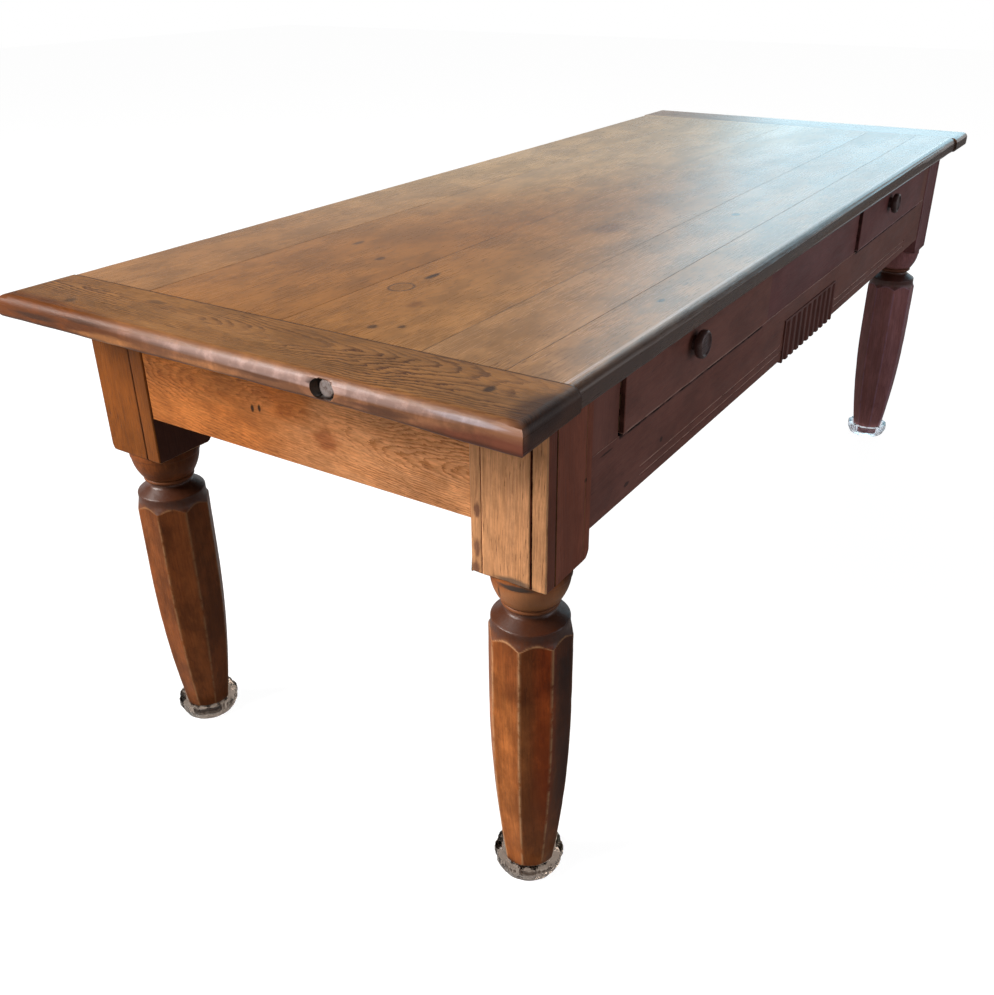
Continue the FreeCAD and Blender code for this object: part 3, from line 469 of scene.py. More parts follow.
@dataclass(frozen=True)
class Lay:
    """How a board was cut from its log: where its pith line runs and how far it leans."""

    grain: Grain
    pith: Point
    lean: float
    turn: float
    along: float

    def rotation(self) -> Matrix:
        """Turns the fibres on to X, with the lean of the pith line.

        Returns:
            The turn.
        """
        align = {
            Grain.LENGTH: Matrix.Identity(3),
            Grain.WIDTH: Matrix.Rotation(-math.pi / 2, 3, "Z"),
            Grain.UPRIGHT: Matrix.Rotation(math.pi / 2, 3, "Y"),
        }[self.grain]
        tilt = Euler((0.0, math.radians(self.lean), math.radians(self.turn))).to_matrix()
        return tilt @ align

    def mapping(self, tree: Tree, place: Socket) -> Socket:
        """Lays the figure in a material.

        Args:
            tree: the material's tree.
            place: the object coordinates.

        Returns:
            Coordinates with the fibres along X and the pith line on it.
        """
        turn = self.rotation()
        shift = Vector((self.along, 0.0, 0.0)) - turn @ Vector(self.pith)
        return tree.step("ShaderNodeMapping", Vector=place, Rotation=turn.to_euler(), Location=shift)


def new_material(name: str) -> tuple[bpy.types.Material, Tree, bpy.types.Node, Socket]:
    """Starts a material.

    Args:
        name: the material's name.

    Returns:
        The material, its tree, its Principled shader and the object coordinates.
    """
    material = bpy.data.materials.new(name)
    material.use_nodes = True
    tree = Tree(material.node_tree)
    shader = material.node_tree.nodes["Principled BSDF"]
    return material, tree, shader, tree.add("ShaderNodeTexCoord").outputs["Object"]


@dataclass(frozen=True)
class WoodFinish:
    """An old waxed wood: its colours, figure, wear and gloss."""

    light: Colour
    mid: Colour
    dark: Colour
    worn: Colour
    grime: Colour
    ring_scale: float
    ring_warp: float
    rings: float
    fibre: float
    pores: float
    patches: float
    wear: float
    gloss: tuple[float, float]
    specular: float
    relief: float
    mottle: float = 0.15
    breakup: float = 34.0
    grime_roughness: float = 0.85
    grime_coat: float = 0.0
    coat_roughness: float = 0.24

    def colour(self, tree: Tree, figure: bpy.types.NodeOutputs) -> Socket:
        """Mixes the wood's own colour.

        Args:
            tree: the material's tree.
            figure: the wood figure's outputs.

        Returns:
            The colour without marks and wear.
        """
        colour = tree.mix(figure["Streaks"], self.mid, self.light)
        colour = tree.mix(tree.times(figure["Rings"], self.rings), colour, self.dark)
        thread = tree.span(figure["Fibre"], 0.2, 0.8, 1.0 - self.fibre, 1.0 + FIBRE_LIFT * self.fibre)
        cloudy = tree.span(figure["Mottle"], 0.0, 1.0, 1.0 - self.mottle, 1.0 + MOTTLE_LIFT * self.mottle)
        thread = tree.times(thread, cloudy)
        shade = tree.step("ShaderNodeCombineColor", Red=thread, Green=thread, Blue=thread)
        colour = tree.mix(1.0, colour, shade, Blend.TINT)
        colour = tree.mix(tree.times(figure["Patches"], self.patches), colour, self.dark)
        return tree.mix(tree.times(figure["Pores"], self.pores), colour, self.grime)

    def material(self, groups: Groups, name: str, lay: Lay, marks: Sequence[Mark] = ()) -> bpy.types.Material:
        """Builds the wood for one piece.

        Args:
            groups: the shared node groups.
            name: the material's name.
            lay: how the piece's figure lies.
            marks: the marks that this piece carries.

        Returns:
            The material.
        """
        material, tree, shader, place = new_material(name)
        laid = lay.mapping(tree, place)
        figure = groups.place(tree, groups.figure, Vector=laid, Ring_Scale=self.ring_scale, Ring_Warp=self.ring_warp)
        colour = self.colour(tree, figure)
        for mark in marks:
            spot = groups.place(
                tree, groups.mark, Vector=place, Centre=mark.centre, Reach=mark.reach, Rough=mark.rough
            )
            mask = spot["Rim" if mark.rim else "Core"]
            colour = tree.mix(tree.times(mask, mark.strength), colour, mark.colour, mark.blend)
        worn = groups.place(tree, groups.wear, Vector=place, Amount=self.wear, Breakup=self.breakup)
        colour = tree.mix(worn["Wear"], colour, self.worn)
        rub = tree.plus(tree.times(figure["Fibre"], 0.6), tree.times(figure["Patches"], 0.4))
        gloss = tree.span(rub, 0.2, 0.8, *self.gloss)
        height = tree.plus(tree.times(figure["Fibre"], 0.7), tree.times(figure["Rings"], -0.25))
        height = tree.plus(height, tree.times(figure["Pores"], -0.5))
        # The grime colour goes in through the mask of grime and painted shade.
        tree.fill(
            shader, Base_Color=tree.mix(worn["Dirt"], colour, self.grime), Specular_IOR_Level=self.specular,
            Roughness=tree.larger(gloss, tree.times(worn["Dirt"], self.grime_roughness)),
            Normal=tree.bump(height, self.relief, WOOD_RELIEF),
        )
        if self.grime_coat:
            coat = tree.times(worn["Dirt"], self.grime_coat)
            tree.fill(shader, Coat_Weight=coat, Coat_Roughness=self.coat_roughness)
        return material


@dataclass(frozen=True)
class MetalFinish:
    """Dull old steel with rust in its scratches."""

    bright: Colour = (0.34, 0.29, 0.275)
    rust: Colour = (0.12, 0.075, 0.06)
    spot_scale: float = 160.0
    scuff_scale: Point = (90.0, 900.0, 900.0)
    relief: tuple[float, float] = (0.4, 0.0004)

    def material(self, name: str) -> bpy.types.Material:
        """Builds the steel.

        Args:
            name: the material's name.

        Returns:
            The material.
        """
        material, tree, shader, place = new_material(name)
        spots = tree.clouds(place, self.spot_scale, 5.0, 0.65)
        scuffs = tree.clouds(place, self.scuff_scale)
        rusty = tree.span(spots, 0.42, 0.66)
        tree.fill(
            shader, Base_Color=tree.mix(rusty, self.bright, self.rust), Metallic=tree.span(rusty, 0.0, 1.0, 0.9, 0.25),
            Roughness=tree.span(scuffs, 0.3, 0.7, 0.30, 0.48), Normal=tree.bump(tree.plus(spots, scuffs), *self.relief),
        )
        return material


@dataclass(frozen=True)
class GlassFinish:
    """Pressed glass with ripples and dust, tinted dark brown as a painted reflection of a dark floor seen in and
    through it.
    """

    # The dark brown tint is painted reflection of a dark floor.
    clear: Colour = (0.29, 0.235, 0.195)
    dusty: Colour = (0.205, 0.16, 0.13)
    ripple_scale: float = 95.0
    dust_scale: float = 40.0
    bend: float = 1.48
    relief: tuple[float, float] = (0.35, 0.002)

    def material(self, name: str) -> bpy.types.Material:
        """Builds the glass.

        Args:
            name: the material's name.

        Returns:
            The material.
        """
        material, tree, shader, place = new_material(name)
        ripple = tree.clouds(place, self.ripple_scale, rough=0.5)
        dust = tree.clouds(place, self.dust_scale, 5.0, 0.6)
        tree.fill(
            shader, Base_Color=tree.mix(tree.span(dust, 0.4, 0.7), self.clear, self.dusty), IOR=self.bend,
            Roughness=tree.span(dust, 0.35, 0.7, 0.03, 0.14), Transmission_Weight=1.0,
            Normal=tree.bump(ripple, *self.relief),
        )
        return material


TOP_FINISH = WoodFinish(
    light=(0.362, 0.164, 0.050), mid=(0.328, 0.144, 0.041), dark=(0.18, 0.070, 0.020), worn=(0.06, 0.026, 0.011),
    grime=(0.06, 0.023, 0.008), ring_scale=118.0, ring_warp=0.06, rings=0.24, fibre=0.16, pores=0.6, patches=0.05,
    mottle=0.2, wear=0.6, gloss=(0.25, 0.30), specular=0.5, relief=0.07,
)
BREADBOARD_FINISH = WoodFinish(
    light=(0.325, 0.150, 0.047), mid=(0.275, 0.120, 0.035), dark=(0.075, 0.024, 0.007), worn=(0.045, 0.018, 0.008),
    grime=(0.035, 0.013, 0.005), ring_scale=78.0, ring_warp=0.075, rings=1.0, fibre=0.26, pores=0.55, patches=0.10,
    mottle=0.18, wear=0.6, gloss=(0.34, 0.48), specular=0.24, relief=0.35,
)
APRON_FINISH = WoodFinish(
    light=(0.63, 0.292, 0.126), mid=(0.545, 0.230, 0.087), dark=(0.21, 0.063, 0.015), worn=(0.55, 0.28, 0.13),
    grime=(0.05, 0.016, 0.006), ring_scale=96.0, ring_warp=0.085, rings=0.75, fibre=0.24, pores=0.5, patches=0.1,
    mottle=0.2, wear=0.5, gloss=(0.42, 0.58), specular=0.15, relief=0.5,
)
# Darker, purpler wood for the faces along the front and back, the stiles, drawers, fluted blocks and the legs' side
# faces: the shade of faces turned away from the key lamp is painted into it.
FRONT_SHADED_FINISH = WoodFinish(
    light=(0.275, 0.108, 0.078), mid=(0.24, 0.090, 0.064), dark=(0.14, 0.047, 0.034), worn=(0.62, 0.36, 0.28),
    grime=(0.016, 0.007, 0.005), ring_scale=90.0, ring_warp=0.05, rings=0.2, fibre=0.12, pores=0.25, patches=0.18,
    mottle=0.16, wear=0.8, gloss=(0.38, 0.55), specular=0.14, relief=0.3,
)
BLOCK_FINISH = WoodFinish(
    light=(0.585, 0.292, 0.140), mid=(0.515, 0.245, 0.108), dark=(0.27, 0.10, 0.036), worn=(0.56, 0.33, 0.19),
    grime=(0.05, 0.019, 0.010), ring_scale=150.0, ring_warp=0.04, rings=0.24, fibre=0.2, pores=0.7, patches=0.05,
    mottle=0.2, wear=0.6, gloss=(0.42, 0.58), specular=0.15, relief=0.5,
)
SHAFT_FINISH = WoodFinish(
    light=(0.395, 0.132, 0.039), mid=(0.325, 0.097, 0.026), dark=(0.135, 0.034, 0.009), worn=(0.55, 0.30, 0.15),
    grime=(0.06, 0.019, 0.009), ring_scale=90.0, ring_warp=0.05, rings=0.14, fibre=0.16, pores=0.4, patches=0.55,
    mottle=0.42, wear=0.95, breakup=60.0, gloss=(0.32, 0.46), specular=0.12, relief=0.3, grime_roughness=0.3,
    grime_coat=0.8, coat_roughness=0.34,
)
INNER_FINISH = WoodFinish(
    light=(0.50, 0.34, 0.19), mid=(0.42, 0.275, 0.145), dark=(0.27, 0.155, 0.075), worn=(0.55, 0.42, 0.28),
    grime=(0.09, 0.055, 0.03), ring_scale=50.0, ring_warp=0.06, rings=0.5, fibre=0.3, pores=0.35, patches=0.3,
    wear=0.4, gloss=(0.55, 0.72), specular=0.15, relief=0.5,
)
KNOB_FINISH = WoodFinish(
    light=(0.12, 0.062, 0.056), mid=(0.085, 0.042, 0.037), dark=(0.03, 0.015, 0.013), worn=(0.20, 0.12, 0.10),
    grime=(0.012, 0.007, 0.005), ring_scale=110.0, ring_warp=0.01, rings=0.2, fibre=0.12, pores=0.2, patches=0.3,
    wear=0.35, breakup=90.0, gloss=(0.26, 0.4), specular=0.35, relief=0.2,
)


# Meshes


def linked(name: str, data: bpy.types.ID) -> bpy.types.Object:
    """Puts a new object in the scene.

    Args:
        name: the object's name.
        data: its mesh, lamp or camera.

    Returns:
        The object.
    """
    thing = bpy.data.objects.new(name, data)
    bpy.context.scene.collection.objects.link(thing)
    return thing


def evaluated(maker: bpy.types.Object) -> bpy.types.Mesh:
    """Applies an object's modifiers and removes the object.

    Args:
        maker: the object.

    Returns:
        The plain mesh that its modifiers make.
    """
    bpy.context.view_layer.update()
    seen = maker.evaluated_get(bpy.context.evaluated_depsgraph_get())
    mesh = bpy.data.meshes.new_from_object(seen)
    maker.modifiers.clear()
    bpy.data.objects.remove(maker)
    return mesh


def filled_mesh(bm: bmesh.types.BMesh, mesh: bpy.types.Mesh) -> bpy.types.Mesh:
    """Writes a bmesh into a mesh and frees it.

    Args:
        bm: the bmesh.
        mesh: the mesh.

    Returns:
        The same mesh.
    """
    bm.to_mesh(mesh)
    bm.free()
    return mesh


def finish_mesh(mesh: bpy.types.Mesh, sharp_angle: float = 38.0) -> bpy.types.Mesh:
    """Shades a mesh smooth up to an angle.

    Args:
        mesh: the mesh.
        sharp_angle: edges bent more than this stay sharp, in degrees.

    Returns:
        The same mesh.
    """
    mesh.polygons.foreach_set("use_smooth", [True] * len(mesh.polygons))
    mesh.set_sharp_from_angle(angle=math.radians(sharp_angle))
    mesh.update()
    return mesh


def even_normals(mesh: bpy.types.Mesh) -> bpy.types.Mesh:
    """Lets broad flat faces rule the shading beside their rounded edges.

    Args:
        mesh: the mesh, replaced by the result.

    Returns:
        The new mesh.
    """
    name = mesh.name
    maker = linked(name + "_maker", mesh)
    maker.modifiers.new("even", "WEIGHTED_NORMAL").keep_sharp = True
    result = evaluated(maker)
    bpy.data.meshes.remove(mesh)
    result.name = name
    return result


def float_layer(bm: bmesh.types.BMesh, name: str) -> bmesh.types.BMLayerItem:
    """A mesh's number layer of that name, made where it has none."""
    layers = bm.verts.layers.float
    return layers.get(name) or layers.new(name)


def whole(bm: bmesh.types.BMesh) -> list:
    """All of a mesh's vertices, edges and faces."""
    return bm.verts[:] + bm.edges[:] + bm.faces[:]


def ramp(gone: float, reach: float) -> float:
    """The share of a reach that is gone, from 0 to 1."""
    return min(1.0, max(0.0, gone / reach))


def face_width(face: bmesh.types.BMFace) -> float:
    """A face's narrow side, from its area and its longest edge."""
    return face.calc_area() / max(edge.calc_length() for edge in face.edges)


def box_middle(node: str) -> Vector:
    """The middle of a node's box."""
    low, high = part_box(node)
    return (low + high) / 2


def merged_node(node: str, flat_angle: float = 0.6) -> bmesh.types.BMesh:
    """A CAD node's shape as one merged mesh with whole flat faces.

    Args:
        node: the CAD node.
        flat_angle: faces bent less than this become one, in degrees.

    Returns:
        A new bmesh.
    """
    bm = bmesh.new()
    bm.from_mesh(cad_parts[node].data)
    bmesh.ops.remove_doubles(bm, verts=bm.verts, dist=WELD)
    bmesh.ops.dissolve_limit(bm, angle_limit=math.radians(flat_angle), verts=bm.verts, edges=bm.edges)
    bm.normal_update()
    return bm


def soften(bm: bmesh.types.BMesh, rounding: float, sharp_angle: float = 30.0) -> None:
    """Rounds the sharp edges of broad faces and stamps them in the edge layer.

    Args:
        bm: the mesh, changed in place.
        rounding: how far the rounding reaches on each face.
        sharp_angle: edges bent more than this are rounded, in degrees.
    """
    layer = float_layer(bm, EDGE_LAYER)
    limit = math.radians(sharp_angle)
    edges = [
        edge for edge in bm.edges
        if len(edge.link_faces) == 2 and edge.calc_face_angle(0.0) > limit and edge.is_convex
        and min(face_width(face) for face in edge.link_faces) > BROAD * rounding
    ]
    done = bmesh.ops.bevel(
        bm, geom=edges, offset=rounding, offset_type="OFFSET", segments=2, profile=0.5,
        affect="EDGES", clamp_overlap=False,
    )
    rounded = set(done["faces"])
    for vert in done["verts"]:
        vert[layer] = float(all(face in rounded for face in vert.link_faces))
    bm.normal_update()


def slice_at(bm: bmesh.types.BMesh, axis: int, places: Iterable[float]) -> None:
    """Cuts a mesh across at given places, so that it can bend there.

    Args:
        bm: the mesh, changed in place.
        axis: 0, 1 or 2 for X, Y or Z.
        places: where to cut on that axis.
    """
    normal = Vector((0.0, 0.0, 0.0))
    normal[axis] = 1.0
    for place in places:
        bmesh.ops.bisect_plane(bm, geom=whole(bm), dist=CUT, plane_co=normal * place, plane_no=normal)


def slice_along(bm: bmesh.types.BMesh, axis: int, spacing: float) -> None:
    """Cuts a mesh across at even steps, so that its edges can wander.

    Args:
        bm: the mesh, changed in place.
        axis: 0, 1 or 2 for X, Y or Z.
        spacing: the step.
    """
    places = [vert.co[axis] for vert in bm.verts]
    low, high = min(places), max(places)
    count = max(2, int((high - low) / spacing))
    slice_at(bm, axis, [low + (high - low) * i / count for i in range(1, count)])


def at_edges(place: Vector, edge: float) -> float:
    """The share of a dent where only rounded edges are dented."""
    return edge


def wander(
    bm: bmesh.types.BMesh, amount: float, scale: float, where: Callable[[Vector, float], float] = at_edges
) -> None:
    """Presses dents into a mesh along its normals.

    Args:
        bm: the mesh, changed in place.
        amount: the deepest dent.
        scale: how close together the dents are.
        where: the share of the dent for a place and its edge value.
    """
    layer = float_layer(bm, EDGE_LAYER)
    bm.normal_update()
    moves = []
    for vert in bm.verts:
        share = where(vert.co, vert[layer])
        if share > 0.0:
            wave = 0.5 + 0.5 * noise.fractal(vert.co * scale, *DENT_NOISE)
            moves.append((vert, vert.normal * (-amount * share * max(0.0, wave))))
    for vert, move in moves:
        vert.co += move


def to_mesh(bm: bmesh.types.BMesh, name: str) -> bpy.types.Mesh:
    """Turns a bmesh into a mesh that is smooth up to an angle."""
    return even_normals(finish_mesh(filled_mesh(bm, bpy.data.meshes.new(name))))


def place_piece(
    name: str, mesh: bpy.types.Mesh, material: bpy.types.Material, body: Body, node: str
) -> None:
    """Puts a finished piece in the scene.

    Args:
        name: the piece's name.
        mesh: its mesh, in place.
        material: its finish, or the mesh's own where it has one.
        body: the body it rides on.
        node: the CAD node it stands for.
    """
    if not mesh.materials:
        mesh.materials.append(material)
    piece = linked(name, mesh)
    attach(piece, body.value)
    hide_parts(node)
    LOG.info("piece %s: %d faces on %s", name, len(mesh.polygons), body.value)


def dress_node(node: str, material: bpy.types.Material) -> None:
    """Gives a CAD node that stays a better finish.

    Args:
        node: the CAD node.
        material: its finish.
    """
    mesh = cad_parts[node].data
    mesh.materials.clear()
    mesh.materials.append(material)
    LOG.info("CAD node %s dressed in %s", node, material.name)


def neighbours(count: int) -> list[tuple[int, int]]:
    """Each place in a closed ring with the next one."""
    return [(i, (i + 1) % count) for i in range(count)]


def ring_mesh(bm: bmesh.types.BMesh, rings: Sequence[Sequence[Vector]]) -> list[list[bmesh.types.BMVert]]:
    """Skins closed rings of points and caps both ends with a fan.

    Args:
        bm: the mesh, added to.
        rings: rings with the same count of points, counter-clockwise from above, from the top down.

    Returns:
        The vertices of each ring.
    """
    rows = [[bm.verts.new(point) for point in ring] for ring in rings]
    pairs = neighbours(len(rows[0]))
    for upper, lower in zip(rows, rows[1:]):
        for i, j in pairs:
            bm.faces.new((upper[i], lower[i], lower[j], upper[j]))
    for row, flip in ((rows[0], False), (rows[-1], True)):
        hub = bm.verts.new(sum((vert.co for vert in row), Vector()) / len(row))
        for i, j in pairs:
            bm.faces.new((row[j], row[i], hub) if flip else (row[i], row[j], hub))
    return rows


def toned(finish: WoodFinish, tone: Colour) -> WoodFinish:
    """A finish with its woods multiplied by a tone.

    Args:
        finish: the finish.
        tone: what each channel is multiplied by.

    Returns:
        The toned finish.
    """
    woods = ("light", "mid", "dark", "worn")
    shades = {name: tuple(a * b for a, b in zip(getattr(finish, name), tone)) for name in woods}
    return replace(finish, **shades)


# Tabletop


TOP_LEVEL = 0.775
SPOT_DEPTH = 0.02
ENDLESS = 4.0
STRIP_LEVEL = 0.76
END_FACE = -1.06
END_SPOT_DEPTH = 0.012
BACK_TONE = (1.1, 1.12, 0.62)
FAR_TONE = (0.94, 0.93, 1.16)
DARK_EDGE = (0.072, 0.028, 0.020)
FLECK = (0.05, 0.022, 0.01)
PALE_FLECK = (0.07, 0.03, 0.014)


def top_spot(
    x: float, y: float, length: float, width: float, colour: Colour, strength: float, rough: float, rim: bool = False
) -> Mark:
    """A mark on the upper face of the top, or the rim of one."""
    return Mark((x, y, TOP_LEVEL), (length, width, SPOT_DEPTH), colour, strength, rough, rim=rim)


def edge_strip(y: float, width: float, strength: float, rough: float) -> Mark:
    """The dark strip along a long edge of the top."""
    return Mark((0.0, y, STRIP_LEVEL), (ENDLESS, width, ENDLESS), DARK_EDGE, strength, rough)


def end_spot(y: float, z: float, length: float, height: float, colour: Colour, strength: float, rough: float) -> Mark:
    """A mark on the outer face of the near breadboard end."""
    return Mark((END_FACE, y, z), (END_SPOT_DEPTH, length, height), colour, strength, rough)


# Painted sheen: the far and front parts of the top are lightened and turned blue where the window's reflection lies.
FAR_PAINTED_SHEEN = tint((0.85, 0.45, TOP_LEVEL), (1.65, 0.68, 0.2), (1.62, 2.25, 3.5), 1.0, 0.3)
FRONT_PAINTED_SHEEN = tint((-0.45, -0.38, TOP_LEVEL), (1.1, 0.46, 0.2), (1.18, 1.36, 1.95), 1.0, 0.5)
NEAR_WARMTH = tint((-0.75, 0.08, TOP_LEVEL), (0.9, 0.40, 0.2), (0.97, 0.86, 0.60), 1.0, 0.5)
JOINT_LINE = Mark((-0.941, 0.0, TOP_LEVEL), (0.0021, ENDLESS, 0.03), (0.05, 0.02, 0.008), 0.8, 0.1)
JOINT_FLECK = top_spot(-0.647, 0.085, 0.014, 0.008, PALE_FLECK, 0.7, 0.9)


@dataclass(frozen=True)
class Plank:
    """One plank of the top: how it was cut from its log, and its marks."""

    pith_depth: float
    lean: float
    along: float
    marks: tuple[Mark, ...]


PLANKS = (
    Plank(0.10, 1.6, 0.3, (edge_strip(0.430, 0.030, 0.85, 0.4), FAR_PAINTED_SHEEN)),
    Plank(0.07, -1.3, 1.9, (
        FAR_PAINTED_SHEEN, NEAR_WARMTH,
        top_spot(-0.59, 0.174, 0.018, 0.007, PALE_FLECK, 0.75, 0.9),
        JOINT_FLECK,
        top_spot(-0.076, 0.104, 0.03, 0.027, (0.15, 0.08, 0.04), 0.5, 0.15, rim=True),
    )),
    Plank(0.13, 2.1, 4.1, (
        FAR_PAINTED_SHEEN, NEAR_WARMTH, FRONT_PAINTED_SHEEN,
        top_spot(-0.748, -0.032, 0.021, 0.018, (0.10, 0.045, 0.02), 0.75, 0.12, rim=True),
        top_spot(-0.682, -0.037, 0.024, 0.007, (0.035, 0.014, 0.007), 0.9, 0.5),
        tint((-0.30, -0.12, TOP_LEVEL), (0.05, 0.03, SPOT_DEPTH), (0.6, 0.5, 0.45), 0.8, 0.9),
        tint((-0.80, -0.095, TOP_LEVEL), (0.020, 0.010, SPOT_DEPTH), (0.7, 0.62, 0.55), 0.9, 1.2),
        top_spot(-0.900, -0.105, 0.010, 0.008, FLECK, 0.75, 0.9),
        top_spot(-0.882, -0.136, 0.008, 0.006, FLECK, 0.75, 0.9),
        JOINT_FLECK,
    )),
    Plank(0.05, -1.8, 6.7, (FRONT_PAINTED_SHEEN, top_spot(-0.1, -0.26, 0.014, 0.010, FLECK, 0.8, 0.4))),
    Plank(0.09, 1.5, 8.2, (
        FRONT_PAINTED_SHEEN,
        edge_strip(-0.430, 0.034, 0.97, 0.4),
        # Painted highlight: a pale line where the front edge's rounding starts.
        top_spot(0.0, -0.3985, ENDLESS, 0.0034, (0.60, 0.46, 0.40), 0.6, 0.15),
        top_spot(-0.62, -0.36, 0.012, 0.006, (0.06, 0.028, 0.015), 0.7, 0.5),
    )),
)
END_MARKS = (edge_strip(-0.436, 0.036, 0.95, 0.5), edge_strip(0.436, 0.03, 0.85, 0.5))
NEAR_END_MARKS = (
    top_spot(-0.995, -0.338, 0.012, 0.008, (0.04, 0.018, 0.008), 0.9, 0.4),
    tint((-1.02, -0.41, TOP_LEVEL), (0.075, 0.034, 0.03), (0.34, 0.30, 0.32), 0.9, 0.6),
    top_spot(-1.024, 0.307, 0.012, 0.01, (0.06, 0.03, 0.015), 0.7, 0.5),
    top_spot(-0.97, 0.20, 0.008, 0.02, (0.07, 0.035, 0.018), 0.6, 0.5),
    Mark((-1.068, 0.0, 0.762), (0.024, ENDLESS, ENDLESS), (0.25, 0.105, 0.052), 0.85, 0.3),
    Mark((-1.062, 0.0, 0.740), (0.016, ENDLESS, 0.010), (0.12, 0.046, 0.022), 0.6, 0.8),
    tint((-1.068, 0.33, 0.762), (0.05, 0.30, 0.06), (0.56, 0.36, 0.13), 1.0, 0.7),
    end_spot(0.34, 0.757, 0.06, 0.005, (0.04, 0.015, 0.007), 0.85, 1.2),
    end_spot(0.24, 0.766, 0.07, 0.004, (0.05, 0.019, 0.009), 0.7, 1.2),
    end_spot(0.20, 0.750, 0.075, 0.008, (0.50, 0.21, 0.07), 0.75, 1.1),
    end_spot(0.02, 0.750, 0.07, 0.007, (0.50, 0.21, 0.08), 0.7, 1.1),
    end_spot(0.08, 0.762, 0.06, 0.004, (0.07, 0.028, 0.016), 0.6, 1.3),
    end_spot(-0.07, 0.757, 0.05, 0.005, (0.08, 0.032, 0.02), 0.6, 1.3),
    end_spot(-0.24, 0.752, 0.05, 0.006, (0.07, 0.027, 0.017), 0.7, 1.2),
    # Painted highlights: a lilac band along the near edge's upper rounding, and a paler spot near its right end.
    end_spot(-0.11, 0.7645, 0.33, 0.0082, (0.48, 0.33, 0.295), 0.82, 0.6),
    end_spot(-0.35, 0.7665, 0.06, 0.0040, (0.50, 0.45, 0.50), 0.6, 0.5),
    tint((END_FACE, -0.39, 0.746), (0.03, 0.12, 0.016), (0.62, 0.42, 0.44), 1.0, 0.8),
    JOINT_LINE,
)


@dataclass(frozen=True)
class BoltSlot:
    """The oblong hole in a breadboard's edge that the bolt head lies in, stretched to one side."""

    y: float
    z: float
    edge: float
    cut: bool
    radius: float = 0.0119
    play: float = 0.004
    stretch: float = 0.0045
    stretch_from: float = 0.003
    depth: float = 0.016
    floor: float = 0.010
    facing: float = 0.002

    def away(self, place: Vector) -> tuple[float, float]:
        """The way from the slot's middle line to a place, along Y and Z."""
        beside = place.y - self.y
        return beside - min(max(beside, -self.play), self.play + self.stretch), place.z - self.z

    def holds(self, place: Vector) -> bool:
        """Whether a place is on the slot's wall or floor."""
        return self.cut and self.edge - abs(place.x) < self.depth and math.hypot(*self.away(place)) < self.radius

    def widen(self, bm: bmesh.types.BMesh) -> None:
        """Stretches the slot to one side.

        Args:
            bm: the board, changed in place.
        """
        for vert in bm.verts:
            if self.holds(vert.co) and vert.co.y > self.y + self.stretch_from:
                vert.co.y += self.stretch

    def lined(self, face: bmesh.types.BMFace) -> bool:
        """Whether a face is part of the slot's wall or floor.

        Args:
            face: a face of the board.

        Returns:
            True on the wall and the floor.
        """
        centre = face.calc_center_median()
        beside, above = self.away(centre)
        walled = face.normal.y * beside + face.normal.z * above < -self.facing
        sunk = self.edge - abs(centre.x) > self.floor
        return (walled or sunk) and all(self.holds(vert.co) for vert in face.verts)


